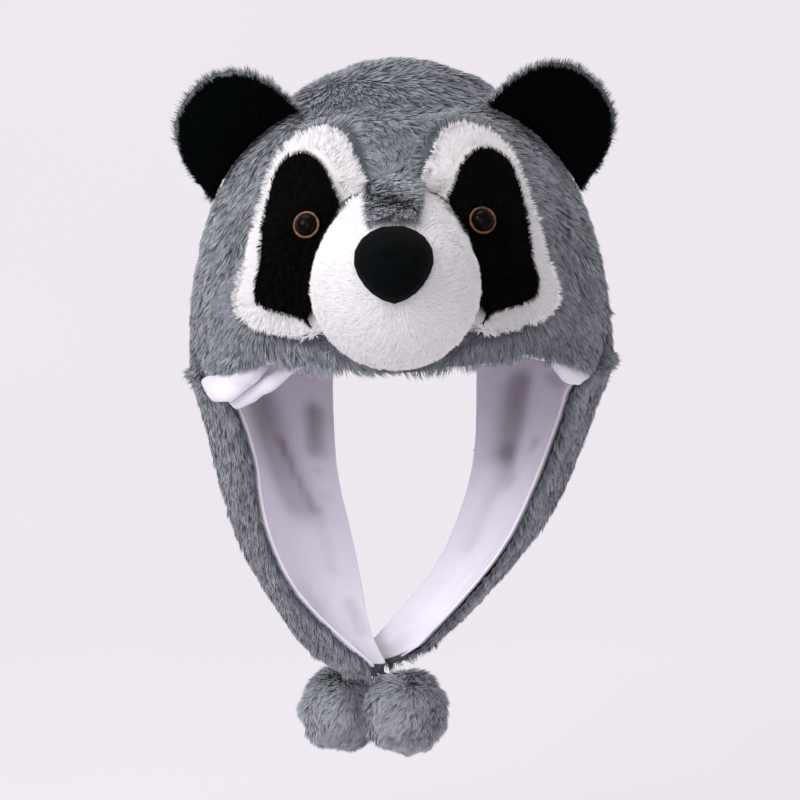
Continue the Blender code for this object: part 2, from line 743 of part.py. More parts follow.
def make_flap(side: str, sign: int, table: list, pompom_way: tuple) -> None:
    columns = 11
    rows = flap_rows(sign, table, columns)
    outward = grid_normals(rows, sign)
    surface = [point for row in rows for point in row]
    thin = [1 - FLAP_TIP_THIN * (r / (len(rows) - 1)) ** 2 for r in range(len(rows)) for _ in range(columns)]
    faces = grid_faces(len(rows), columns)

    def inset(depth: float) -> list:
        return [point - n * (depth * t) for point, n, t in zip(surface, outward, thin)]

    slab(f"flap_{side}", faces, surface, inset(FLAP_PLUSH), GREY)
    last = (len(rows) - 1) * columns
    low, high = inset(FLAP_PLUSH + 2 * GAP), inset(FLAP_PLUSH + 2 * GAP + LINING)
    slab(f"flap_lining_{side}", grid_faces(len(rows) - 1, columns), low[:last], high[:last], CREAM)
    tip = surface[last:] + inset(FLAP_PLUSH + 2 * GAP + LINING)[last - columns :]
    start = sum(surface[last:], Vector()) / columns
    way = Vector(pompom_way).normalized()
    way = Vector((sign * way.x, way.y, way.z))
    reach = POMPOM_HEAD + POMPOM_PRESSED * POMPOM_LOCK + GAP
    make_pompom(f"pompom_{side}", seated_ball(tip, start, way, reach), start)


def main() -> None:
    make_crown_back()
    make_face_panel()
    make_crown_lining()
    on_panel, on_surround = LAYER_GAP, 2 * LAYER_GAP + SURROUND_THICK
    make_face_sheet("eye_surround", SURROUND, SURROUND_ROOT, ROOT_CLEARANCE, on_panel, SURROUND_THICK, WHITE)
    make_face_sheet("eye_patch", PATCH, PATCH_ROOT, 1.6 * ROOT_CLEARANCE, on_surround, PATCH_THICK, BLACK)
    make_eyes()
    make_muzzle()
    make_nose()
    make_nose_bridge()
    make_ears()
    make_flap("left", 1, LEFT_FLAP, LEFT_POMPOM_WAY)
    make_flap("right", -1, RIGHT_FLAP, RIGHT_POMPOM_WAY)


for old in list(bpy.data.objects):
    bpy.data.objects.remove(old, do_unlink=True)
PARTS = bpy.data.collections.new("animal_hat")
bpy.context.scene.collection.children.link(PARTS)
main()
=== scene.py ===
"""The plush animal hat's looks: cloth, hairs, lining, eyes and studio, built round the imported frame."""

import logging
import math
from dataclasses import dataclass, field
from enum import Enum
from typing import Any, Callable, Sequence, Union

import bmesh
import bpy
import numpy as np
from mathutils import Matrix, Vector
from mathutils.bvhtree import BVHTree
from mathutils.kdtree import KDTree


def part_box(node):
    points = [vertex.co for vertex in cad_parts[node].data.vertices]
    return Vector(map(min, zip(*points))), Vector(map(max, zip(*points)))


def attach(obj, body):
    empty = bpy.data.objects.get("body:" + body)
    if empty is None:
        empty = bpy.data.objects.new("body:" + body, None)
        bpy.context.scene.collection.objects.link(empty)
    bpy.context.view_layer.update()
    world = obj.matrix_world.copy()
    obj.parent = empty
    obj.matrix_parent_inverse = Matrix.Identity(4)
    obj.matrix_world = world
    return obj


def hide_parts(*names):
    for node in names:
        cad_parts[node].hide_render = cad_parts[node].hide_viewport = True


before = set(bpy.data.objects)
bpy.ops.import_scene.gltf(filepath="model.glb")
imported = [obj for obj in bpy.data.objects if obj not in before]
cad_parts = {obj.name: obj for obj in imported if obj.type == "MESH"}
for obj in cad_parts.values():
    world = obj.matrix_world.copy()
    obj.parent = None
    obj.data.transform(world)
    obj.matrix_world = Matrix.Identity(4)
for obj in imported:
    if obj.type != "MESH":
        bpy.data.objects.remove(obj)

Array = np.ndarray
Colour = tuple[float, float, float, float]
Point = tuple[float, float, float]
Value = Union["Socket", float, Sequence[float]]

MM = 0.001
BODY = "root"
HAIR_MAP = "OFBake"
# The name of the fleece's painted shade value, from 0 to 1 at each vertex.
PAINTED_SHADE = "pressed"
HEAD_MIDDLE = (0.0, -0.005, -0.100)
log = logging.getLogger("hat")


def srgb(red: int, green: int, blue: int) -> Colour:
    """A screen colour, from 0 to 255 a channel, as the linear colour that a shader takes."""
    linear = [
        c / 12.92 if c <= 0.04045 else ((c + 0.055) / 1.055) ** 2.4
        for c in (red / 255, green / 255, blue / 255)
    ]
    return (linear[0], linear[1], linear[2], 1.0)


class Slot(Enum):
    """The record's material slots."""

    GREY = "grey_plush"
    PALE = "pale_grey_plush"
    WHITE = "white_plush"
    BLACK = "black_plush"
    NOSE = "nose_plush"
    LINING = "lining"
    RING = "eye_ring"
    DOME = "eye_dome"


class Side(Enum):
    """The wearer's two sides, by the sign of X."""

    LEFT = 1
    RIGHT = -1

    @property
    def word(self) -> str:
        """The side as it stands in the names of nodes."""
        return self.name.lower()


class Socket:
    """A shader output that takes part in Python sums."""

    def __init__(self, graph: "Graph", link: bpy.types.NodeSocket) -> None:
        """Wraps an output.

        Args:
            graph: The material's nodes, where a sum adds its own.
            link: The output itself.
        """
        self.graph = graph
        self.link = link

    def _sum(self, operation: str, first: Value, second: Value) -> "Socket":
        """Adds a Math node.

        Args:
            operation: The node's operation.
            first: Its first value.
            second: Its second value.

        Returns:
            The node's result.
        """
        node = self.graph.node("ShaderNodeMath", {"operation": operation}, {0: first, 1: second})
        return self.graph.out(node)

    def __add__(self, other: Value) -> "Socket":
        """This value and another."""
        return self._sum("ADD", self, other)

    def __radd__(self, other: Value) -> "Socket":
        """A number and this value."""
        return self._sum("ADD", other, self)

    def __sub__(self, other: Value) -> "Socket":
        """This value less another."""
        return self._sum("SUBTRACT", self, other)

    def __rsub__(self, other: Value) -> "Socket":
        """A number less this value."""
        return self._sum("SUBTRACT", other, self)

    def __mul__(self, other: Value) -> "Socket":
        """This value times another."""
        return self._sum("MULTIPLY", self, other)

    def __rmul__(self, other: Value) -> "Socket":
        """A number times this value."""
        return self._sum("MULTIPLY", other, self)


class Graph:
    """The nodes of one material."""

    def __init__(self, name: str) -> None:
        """Starts an empty material.

        Args:
            name: The material's name.
        """
        self.material = bpy.data.materials.new(name)
        self.material.use_nodes = True
        self.tree = self.material.node_tree
        self.tree.nodes.clear()

    def node(
        self, kind: str, settings: dict[str, Any] | None = None, inputs: dict[Any, Value] | None = None
    ) -> bpy.types.Node:
        """Adds one node of any type.

        Args:
            kind: The node's type.
            settings: What it is set to, first of all; "stops" are a ramp's places and colours.
            inputs: The values or links of its sockets.

        Returns:
            The node.
        """
        made = self.tree.nodes.new(kind)
        for key, value in (settings or {}).items():
            if key == "stops":
                elements = made.color_ramp.elements
                while len(elements) < len(value):
                    elements.new(0.5)
                for element, (place, colour) in zip(elements, value):
                    element.position, element.color = place, colour
            else:
                setattr(made, key, value)
        for key, value in (inputs or {}).items():
            if isinstance(value, Socket):
                self.tree.links.new(value.link, made.inputs[key])
            else:
                made.inputs[key].default_value = value
        return made

    def out(self, node: bpy.types.Node, which: int | str = 0) -> Socket:
        """One output of a node, ready for sums.

        Args:
            node: The node.
            which: The output's number or name.

        Returns:
            The wrapped output.
        """
        return Socket(self, node.outputs[which])

    def noise(self, scale: float, detail: float = 2.0, roughness: float = 0.5) -> Socket:
        """A noise over the object's own space.

        Args:
            scale: Bumps a metre.
            detail: How many finer layers it has.
            roughness: How strong those are.

        Returns:
            The noise, about 0 to 1.
        """
        place = self.out(self.node("ShaderNodeTexCoord"), "Object")
        inputs = {"Vector": place, "Scale": scale, "Detail": detail, "Roughness": roughness}
        return self.out(self.node("ShaderNodeTexNoise", None, inputs))

    def ramp(self, factor: Value, *stops: tuple[float, Colour]) -> Socket:
        """A colour ramp.

        Args:
            factor: Where on the ramp each point lies.
            stops: The ramp's places and colours.

        Returns:
            The colour.
        """
        return self.out(self.node("ShaderNodeValToRGB", {"stops": stops}, {0: factor}))

    def mix(self, factor: Value, first: Value, second: Value) -> Socket:
        """A mix of two colours.

        Args:
            factor: The share of the second.
            first: The first colour.
            second: The second colour.

        Returns:
            The mixed colour.
        """
        node = self.node("ShaderNodeMix", {"data_type": "RGBA"}, {0: factor, 6: first, 7: second})
        return self.out(node, 2)

    def bump(self, height: Socket, strength: float, distance: float) -> Socket:
        """A normal raised by a height.

        Args:
            height: The height, from 0 to 1.
            strength: How strongly it shows.
            distance: What a height of 1 means, in metres.

        Returns:
            The normal.
        """
        inputs = {"Strength": strength, "Distance": distance, "Height": height}
        return self.out(self.node("ShaderNodeBump", None, inputs))

    def dress(self, inputs: dict[Any, Value]) -> bpy.types.Material:
        """Ends the material in its shader.

        Args:
            inputs: The shader's sockets.

        Returns:
            The finished material.
        """
        shader = self.out(self.node("ShaderNodeBsdfPrincipled", None, inputs))
        self.node("ShaderNodeOutputMaterial", None, {"Surface": shader})
        return self.material


@dataclass(frozen=True)
class HairFinish:
    """A plush's hairs, whose colour runs from the root to the tip.

    A hair's map holds its tone across and the way along it upwards.
    """

    name: str
    root: Colour
    body: Colour
    tip: Colour
    reach: float = 1.2
    start: float = 0.3
    roughness: float = 0.75
    sheen: float = 0.1
    specular: float = 0.2

    def material(self) -> bpy.types.Material:
        """The hairs' material."""
        graph = Graph(self.name)
        place = graph.out(graph.node("ShaderNodeUVMap", {"uv_map": HAIR_MAP}))
        parts = graph.node("ShaderNodeSeparateXYZ", None, {0: place})
        tone, along = graph.out(parts, 0), graph.out(parts, 1)
        light = along * (tone * self.reach + self.start)
        return graph.dress({
            "Base Color": graph.ramp(light, (0.0, self.root), (0.5, self.body), (1.0, self.tip)),
            "Roughness": self.roughness,
            "Sheen Weight": self.sheen,
            "Specular IOR Level": self.specular,
        })


@dataclass(frozen=True)
class BackingFinish:
    """The close underfur and cloth below a plush's hairs."""

    name: str
    dark: Colour
    light: Colour

    def material(self) -> bpy.types.Material:
        """The backing's material."""
        graph = Graph(self.name)
        fine = graph.noise(900.0, 3.0)
        colour = graph.ramp(fine, (0.3, self.dark), (0.75, self.light))
        return graph.dress({
            "Base Color": colour,
            "Roughness": 0.95,
            "Specular IOR Level": 0.02,
            "Normal": graph.bump(fine, 0.8, 0.0012),
        })


@dataclass(frozen=True)
class FleeceFinish:
    """The lining's brushed knit, darkened towards a painted shade colour as far as the mesh's own painted shade
    values say, with a faint random mottle.
    """

    name: str
    nap: Colour
    # The painted shade colour, reached where the mesh's value is 1.
    pressed: Colour

    def material(self) -> bpy.types.Material:
        """The lining's material."""
        graph = Graph(self.name)
        pressed = graph.out(graph.node("ShaderNodeAttribute", {"attribute_name": PAINTED_SHADE}), "Fac")
        broad, fine = graph.noise(70.0, 3.0), graph.noise(1400.0, 2.0)
        # Painted shade from the mesh's values, with a faint random mottle on top.
        share = pressed + broad * 0.10 + fine * 0.08 - 0.09
        return graph.dress({
            "Base Color": graph.ramp(share, (0.0, self.nap), (1.0, self.pressed)),
            "Roughness": 0.9,
            "Sheen Weight": 0.35,
            "Sheen Roughness": 0.5,
            "Specular IOR Level": 0.15,
            "Normal": graph.bump(fine * 0.6 + graph.noise(420.0, 2.0) * 0.4, 0.35, 0.0006),
        })


@dataclass(frozen=True)
class VelvetFinish:
    """The nose's short velvet."""

    name: str
    deep: Colour
    brushed: Colour

    def material(self) -> bpy.types.Material:
        """The velvet's material."""
        graph = Graph(self.name)
        fine, broad = graph.noise(2600.0, 2.0), graph.noise(160.0, 2.0)
        return graph.dress({
            "Base Color": graph.ramp(fine * 0.5 + broad * 0.5, (0.35, self.deep), (0.7, self.brushed)),
            "Roughness": 0.85,
            "Sheen Weight": 0.02,
            "Sheen Roughness": 0.35,
            "Specular IOR Level": 0.04,
            "Normal": graph.bump(fine, 0.5, 0.0003),
        })


@dataclass(frozen=True)
class GlossFinish:
    """Moulded, polished plastic with a faint cloudiness."""

    name: str
    deep: Colour
    lit: Colour
    roughness: float
    metallic: float = 0.0
    specular: float = 0.5

    def material(self) -> bpy.types.Material:
        """The plastic's material."""
        graph = Graph(self.name)
        cloud = graph.noise(420.0, 2.0)
        return graph.dress({
            "Base Color": graph.ramp(cloud, (0.35, self.deep), (0.7, self.lit)),
            "Roughness": self.roughness,
            "Metallic": self.metallic,
            "Specular IOR Level": self.specular,
        })


@dataclass(frozen=True)
class PaperFinish:
    """The studio's seamless paper."""

    name: str
    light: Colour
    colour: Colour
    shade: Colour
    glow: float

    def material(self) -> bpy.types.Material:
        """The paper's material."""
        graph = Graph(self.name)
        colour = graph.mix(graph.noise(3.0, 1.0), self.colour, self.shade)
        return graph.dress({
            "Base Color": colour,
            "Roughness": 1.0,
            "Specular IOR Level": 0.0,
            "Emission Color": self.light,
            "Emission Strength": self.glow,
        })


class Cupboard:
    """Every finish of the hat, made once."""

    grey_hair = HairFinish("grey_hairs", srgb(84, 87, 94), srgb(132, 135, 143), srgb(186, 189, 197))
    pale_hair = HairFinish("pale_grey_hairs", srgb(104, 107, 113), srgb(158, 162, 168), srgb(206, 209, 215))
    white_hair = HairFinish(
        "white_hairs", srgb(220, 218, 220), srgb(236, 234, 236), srgb(243, 241, 242), roughness=0.9
    )
    black_hair = HairFinish(
        "black_hairs", srgb(2, 2, 2), srgb(9, 8, 7), srgb(19, 17, 15), sheen=0.0, specular=0.02
    )
    ear_hair = HairFinish(
        "ear_black_hairs", srgb(1, 2, 2), srgb(3, 6, 6), srgb(8, 13, 12), sheen=0.0, specular=0.02
    )
    grey_backing = BackingFinish("grey_underfur", srgb(72, 75, 81), srgb(112, 115, 122))
    pale_backing = BackingFinish("pale_grey_underfur", srgb(64, 66, 71), srgb(130, 133, 138))
    white_backing = BackingFinish("white_underfur", srgb(222, 220, 222), srgb(238, 236, 238))
    black_backing = BackingFinish("black_underfur", srgb(1, 1, 1), srgb(4, 4, 4))
    # The fleece's own colour, then the painted shade colour that its hollows and upper parts darken towards.
    fleece = FleeceFinish("lining_fleece", srgb(246, 243, 252), srgb(112, 101, 110))
    velvet = VelvetFinish("nose_velvet", srgb(1, 3, 4), srgb(7, 11, 13))
    dome = GlossFinish("eye_dome_plastic", srgb(2, 2, 2), srgb(12, 7, 5), 0.03, specular=0.06)
    ring = GlossFinish("eye_ring_plastic", srgb(66, 36, 14), srgb(122, 80, 38), 0.3, metallic=0.2)
    paper = PaperFinish("studio_paper", srgb(226, 220, 227), srgb(118, 116, 119), srgb(110, 108, 111), 0.91)

    def __init__(self) -> None:
        """Opens an empty store of made materials."""
        self._made: dict[str, bpy.types.Material] = {}

    def take(self, finish: Any) -> bpy.types.Material:
        """The material of a finish, made on first use.

        Args:
            finish: One of the finishes above.

        Returns:
            Its material.
        """
        if finish.name not in self._made:
            self._made[finish.name] = finish.material()
        return self._made[finish.name]


def unit(vectors: Array) -> Array:
    """Rows of vectors at length 1."""
    return vectors / np.maximum(np.linalg.norm(vectors, axis=-1, keepdims=True), 1e-9)


def tangent(vectors: Array, normals: Array) -> Array:
    """The unit part of each vector that lies in the surface."""
    return unit(vectors - (vectors * normals).sum(1, keepdims=True) * normals)


def ripple(points: Array, size: float, seed: int) -> Array:
    """Smooth seeded noise over space.

    Args:
        points: Where it is read.
        size: About how far apart its swells lie, in metres.
        seed: Which noise.

    Returns:
        Values from -1 to 1.
    """
    rng = np.random.default_rng(seed)
    waves = unit(rng.normal(size=(9, 3))) * (2 * math.pi / size) * rng.uniform(0.6, 1.3, (9, 1))
    return np.clip(np.sin(points @ waves.T + rng.uniform(0, 2 * math.pi, 9)).sum(1) / 3.2, -1, 1)


def smooth(values: Array, low: float, high: float) -> Array:
    """Values eased from 0 at low to 1 at high."""
    share = np.clip((values - low) / (high - low), 0, 1)
    return share * share * (3 - 2 * share)


def read(items: Any, name: str, width: int, kind: type = np.float32) -> Array:
    """A mesh attribute as an array.

    Args:
        items: The mesh's vertices, edges or the like.
        name: The attribute.
        width: How many numbers each item holds.
        kind: The numbers' type.

    Returns:
        One row an item.
    """
    found = np.empty(len(items) * width, kind)
    items.foreach_get(name, found)
    return found.reshape(-1, width)


def cad_shape(node: str) -> tuple[Array, Array]:
    """A CAD solid's joined points and triangles.

    Args:
        node: The node's name.

    Returns:
        The points and the triangles' corners.
    """
    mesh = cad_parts[node].data
    mesh.calc_loop_triangles()
    points = read(mesh.vertices, "co", 3).astype(float)
    faces = read(mesh.loop_triangles, "vertices", 3, np.int32)
    joined, index = np.unique(np.round(points, 6), axis=0, return_inverse=True)
    faces = index.reshape(-1)[faces]
    whole = (faces != np.roll(faces, 1, 1)).all(1)
    return joined, faces[whole]


def tree_of(*nodes: str) -> BVHTree:
    """A search tree over some CAD solids."""
    points: list[Array] = []
    faces: list[Array] = []
    start = 0
    for node in nodes:
        some, corners = cad_shape(node)
        points.append(some)
        faces.append(corners + start)
        start += len(some)
    return BVHTree.FromPolygons(np.concatenate(points).tolist(), np.concatenate(faces).tolist())


def nearest(tree: BVHTree, points: Array) -> Array:
    """The nearest place on a tree's surface to each point."""
    return np.array([tree.find_nearest(p)[0] for p in points.tolist()])


def new_piece(
    name: str, points: Array, faces: Array, material: bpy.types.Material
) -> bpy.types.Object:
    """A mesh object from arrays.

    Args:
        name: Its name.
        points: Its vertices.
        faces: Its faces' corners, all of one count.
        material: What it wears.

    Returns:
        The object, in the scene.
    """
    mesh = bpy.data.meshes.new(name)
    mesh.vertices.add(len(points))
    mesh.vertices.foreach_set("co", np.ascontiguousarray(points, np.float32).ravel())
    mesh.loops.add(faces.size)
    mesh.loops.foreach_set("vertex_index", np.ascontiguousarray(faces, np.int32).ravel())
    mesh.polygons.add(len(faces))
    starts = np.arange(0, faces.size, faces.shape[1], dtype=np.int32)
    mesh.polygons.foreach_set("loop_start", starts)
    mesh.update(calc_edges=True)
    mesh.shade_smooth()
    mesh.materials.append(material)
    made = bpy.data.objects.new(name, mesh)
    bpy.context.scene.collection.objects.link(made)
    return made


def remeshed(piece: bpy.types.Object, voxel: float) -> None:
    """Gives a closed piece even faces of about a voxel across."""
    material = piece.data.materials[0]
    change = piece.modifiers.new("even_faces", "REMESH")
    change.mode, change.voxel_size, change.use_smooth_shade = "VOXEL", voxel, True
    graph = bpy.context.evaluated_depsgraph_get()
    mesh = bpy.data.meshes.new_from_object(piece.evaluated_get(graph))
    piece.modifiers.clear()
    piece.data = mesh
    mesh.materials.clear()
    mesh.materials.append(material)
    mesh.shade_smooth()


def divided(piece: bpy.types.Object, cuts: int) -> None:
    """Cuts each edge of a thin piece, where a voxel would break it."""
    work = bmesh.new()
    work.from_mesh(piece.data)
    bmesh.ops.subdivide_edges(work, edges=work.edges, cuts=cuts, use_grid_fill=True)
    bmesh.ops.triangulate(work, faces=work.faces)
    work.to_mesh(piece.data)
    work.free()
    piece.data.shade_smooth()


def relaxed(points: Array, edges: Array, rounds: int) -> Array:
    """Points eased towards their neighbours and back, so facets go and the size stays.

    Args:
        points: The vertices.
        edges: The edges' ends.
        rounds: How many times.

    Returns:
        The eased vertices.
    """
    count = np.maximum(np.bincount(edges.ravel(), minlength=len(points)), 1)[:, None]
    for _ in range(rounds):
        for pull in (0.5, -0.52):
            total = np.stack([
                np.bincount(edges[:, 0], points[edges[:, 1], axis], len(points))
                + np.bincount(edges[:, 1], points[edges[:, 0], axis], len(points))
                for axis in range(3)
            ], 1)
            points = points + pull * (total / count - points)
    return points


def placed(piece: bpy.types.Object, points: Array) -> None:
    """Moves a piece's vertices."""
    piece.data.vertices.foreach_set("co", np.ascontiguousarray(points, np.float32).ravel())
    piece.data.update()


def normals_of(piece: bpy.types.Object) -> Array:
    """A piece's vertex normals."""
    return read(piece.data.vertex_normals, "vector", 3).astype(float)


def pressed(piece: bpy.types.Object, shares: Array) -> None:
    """Writes how far painted shade darkens a fleece at each of its vertices."""
    values = piece.data.attributes.new(PAINTED_SHADE, "FLOAT", "POINT")
    values.data.foreach_set("value", np.clip(shares, 0, 1).astype(np.float32))


def joined_to_frame(piece: bpy.types.Object, slot: Slot, *nodes: str) -> None:
    """Rides a piece on the hat and hides the CAD nodes that it stands for.

    Args:
        piece: The piece.
        slot: Not used.
        nodes: The CAD nodes it stands for.
    """
    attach(piece, BODY)
    if nodes:
        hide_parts(*nodes)
    piece.data.calc_loop_triangles()
    log.info("%s: %d triangles", piece.name, len(piece.data.loop_triangles))


@dataclass(frozen=True)
class Coat:
    """How a plush's hairs are cut and lie. Lengths are in metres and turns in degrees."""

    length: float
    width: float
    density: float
    lean: float = 65.0
    spread: float = 7.0
    tuft: float = 0.003
    pull: float = 0.35
    swirl: float = 35.0
    swirl_size: float = 0.045
    curl: float = 4.0
    tone: float = 0.5
    tone_swing: float = 0.09
    tone_size: float = 0.02


@dataclass
class Flow:
    """Which way hairs are combed: away from a point, and away from some nodes where they are near."""

    source: Point
    shun: tuple[str, ...] = ()
    fade: float = 0.012
    down: float = 0.0

    def at(self, points: Array, normals: Array) -> Array:
        """The comb's way.

        Args:
            points: Where hairs stand.
            normals: Which way the cloth faces there.

        Returns:
            Unit vectors in the surface.
        """
        way = tangent(points - np.array(self.source), normals)
        if self.down:
            way = tangent(way + np.array((0, 0, -self.down)), normals)
        if self.shun:
            away = points - nearest(tree_of(*self.shun), points)
            near = np.exp(-np.linalg.norm(away, axis=1, keepdims=True) / self.fade)
            way = tangent(way * (1 - near) + 1.6 * tangent(away, normals) * near, normals)
        return way


@dataclass
class Stand:
    """Where hairs stand on a cloth: their roots, the cloth's normals and its comb."""

    roots: Array
    normals: Array
    way: Array


class Barber:
    """Grows one coat of hairs on a cloth."""

    def __init__(self, coat: Coat, flow: Flow, seed: int) -> None:
        """Sets out a coat.

        Args:
            coat: How the hairs are cut and lie.
            flow: Which way they are combed.
            seed: Which random hairs.
        """
        self.coat = coat
        self.flow = flow
        self.rng = np.random.default_rng(seed)
        self.seed = seed

    def stand(self, cloth: bpy.types.Object, score: Array, covers: Sequence[str]) -> Stand:
        """Spreads roots over the part of a cloth that carries hairs.

        Args:
            cloth: The cloth.
            score: How far each vertex belongs to that part, over 0 if it does.
            covers: CAD nodes that lie on the cloth, under which nothing grows.

        Returns:
            Where the hairs stand.
        """
        mesh = cloth.data
        mesh.calc_loop_triangles()
        corners = read(mesh.loop_triangles, "vertices", 3, np.int32)
        points, normals = read(mesh.vertices, "co", 3).astype(float), normals_of(cloth)
        first, second, third = (points[corners[:, i]] for i in range(3))
        area = np.linalg.norm(np.cross(second - first, third - first), axis=1) / 2
        area = area * (score[corners].mean(1) > 0)
        count = int(area.sum() * self.coat.density)
        pick = corners[self.rng.choice(len(corners), count, p=area / area.sum())]
        share = self.rng.dirichlet((1, 1, 1), count)
        roots = (points[pick] * share[:, :, None]).sum(1)
        normal = unit((normals[pick] * share[:, :, None]).sum(1))
        if covers:
            tree = tree_of(*covers)
            free = np.array([
                tree.ray_cast(p, n, 0.009)[0] is None for p, n in zip(roots.tolist(), normal.tolist())
            ])
            roots, normal = roots[free], normal[free]
        return Stand(roots, normal, self.flow.at(roots, normal))

    def _swirled(self, stand: Stand) -> Array:
        """The comb's way with the coat's broad swirls."""
        turn = np.radians(self.coat.swirl) * ripple(stand.roots, self.coat.swirl_size, self.seed + 1)
        turn = turn[:, None]
        return np.cos(turn) * stand.way + np.sin(turn) * np.cross(stand.normals, stand.way)

    def _tufts(self, roots: Array) -> tuple[Array, Array]:
        """The leaders of the tufts, and the leader that each hair follows."""
        area = len(roots) / self.coat.density
        leaders = self.rng.choice(len(roots), max(4, int(area / self.coat.tuft**2)), replace=False)
        tree = KDTree(len(leaders))
        for i, root in enumerate(roots[leaders].tolist()):
            tree.insert(root, i)
        tree.balance()
        return leaders, np.array([tree.find(root)[1] for root in roots.tolist()])

    def _lines(self, stand: Stand) -> tuple[Array, Array, Array]:
        """Each hair's root, middle and tip, with the hairs of a tuft gathered to its leader."""
        coat, rng, count = self.coat, self.rng, len(stand.roots)
        leaders, follow = self._tufts(stand.roots)
        way = self._swirled(stand)
        tuft_turn = np.radians(rng.normal(0, 8, len(leaders)))[follow][:, None]
        way = np.cos(tuft_turn) * way + np.sin(tuft_turn) * np.cross(stand.normals, way)
        way = tangent(way + rng.normal(0, 0.12, (count, 3)), stand.normals)
        lean = coat.lean + rng.normal(0, coat.spread, len(leaders))[follow]
        lean = np.radians(lean + rng.normal(0, coat.spread * 0.6, count))[:, None]
        length = coat.length * (1 + rng.normal(0, 0.09, len(leaders))[follow])
        length = (length * (1 + rng.normal(0, 0.08, count)))[:, None]
        steps = []
        for bend in (-coat.curl, coat.curl):
            turn = lean + np.radians(bend)
            steps.append(np.cos(turn) * stand.normals + np.sin(turn) * way)
        middle = stand.roots + steps[0] * length * 0.5
        tip = middle + steps[1] * length * 0.5
        gather = (coat.pull * rng.uniform(0.4, 1.0, count))[:, None]
        tip = tip + gather * (tip[leaders][follow] - tip)
        middle = middle + 0.35 * gather * (middle[leaders][follow] - middle)
        self.tone_of_tuft = rng.normal(0, 1, len(leaders))[follow]
        return stand.roots, middle, tip

    def grow(
        self, name: str, stand: Stand, material: bpy.types.Material, tint: Array | float = 0.0
    ) -> bpy.types.Object:
        """Makes the hairs as one mesh of thin bent blades.

        Args:
            name: The piece's name.
            stand: Where the hairs stand.
            material: What they wear.
            tint: What is added to each hair's tone.

        Returns:
            The coat.
        """
        coat, rng = self.coat, self.rng
        root, middle, tip = self._lines(stand)
        count = len(root)
        along = unit(tip - root)
        side = unit(np.cross(along, stand.normals))
        spin = rng.normal(0, 0.15, count)[:, None]
        side = np.cos(spin) * side + np.sin(spin) * np.cross(along, side)
        side = side * (coat.width * rng.uniform(0.75, 1.25, count))[:, None] / 2
        leans = np.where(rng.random(count) < 0.5, 1, -1)[:, None]
        points = np.stack([root - side, root + side, middle + side * 0.9 * leans, tip], 1).reshape(-1, 3)
        corners = np.concatenate(
            [np.tile((0, 1, 2), (count, 1)), np.where(leans > 0, (0, 2, 3), (2, 1, 3))], 1
        )
        faces = corners + (np.arange(count) * 4)[:, None]
        piece = new_piece(name, points, faces.reshape(-1, 3), material)
        tone = coat.tone + coat.tone_swing * ripple(root, coat.tone_size, self.seed + 2)
        tone = tone + 0.07 * self.tone_of_tuft + rng.normal(0, 0.07, count) + tint
        tone = np.clip(tone, 0.02, 0.98)[:, None]
        ends = np.concatenate([-np.ones_like(leans), np.ones_like(leans), leans, 0 * leans], 1)
        across = tone + 0.006 * np.take_along_axis(ends, corners, 1)
        height = np.array((0.0, 0.0, 0.5, 1.0))[corners]
        layer = piece.data.uv_layers.new(name=HAIR_MAP)
        layer.uv.foreach_set("vector", np.stack([across, height], 2).astype(np.float32).ravel())
        facing = unit(np.cross(side, along))
        soft = unit(stand.normals + facing * 0.3)
        piece.data.normals_split_custom_set_from_vertices(np.repeat(soft, 4, axis=0))
        return piece


def over_head(points: Array, moves: Array) -> Array:
    """The part of each move that goes over the head, not out of it or into it."""
    out = unit(points - np.array(HEAD_MIDDLE))
    return moves - (moves * out).sum(1, keepdims=True) * out


def outward(points: Array, normals: Array) -> Array:
    """How far a cloth over the head faces away from it, over 0 where it is seen from outside."""
    score = (normals * unit(points - np.array(HEAD_MIDDLE))).sum(1) - 0.1
    return score - 2 * smooth(-normals[:, 2], 0.4, 0.7)


def off_the(node: str, bias: float = 0.1) -> Callable[[Array, Array], Array]:
    """A score for the side of a cloth that faces away from a node.

    Args:
        node: The CAD node at its back.
        bias: How far the edges count as that side.

    Returns:
        The function that gives the score.
    """

    def score(points: Array, normals: Array) -> Array:
        """The score of each point."""
        away = unit(points - nearest(tree_of(node), points))
        return (normals * away).sum(1) + bias

    return score


def all_over(points: Array, normals: Array) -> Array:
    """A score that is over 0 everywhere."""
    return np.ones(len(points))


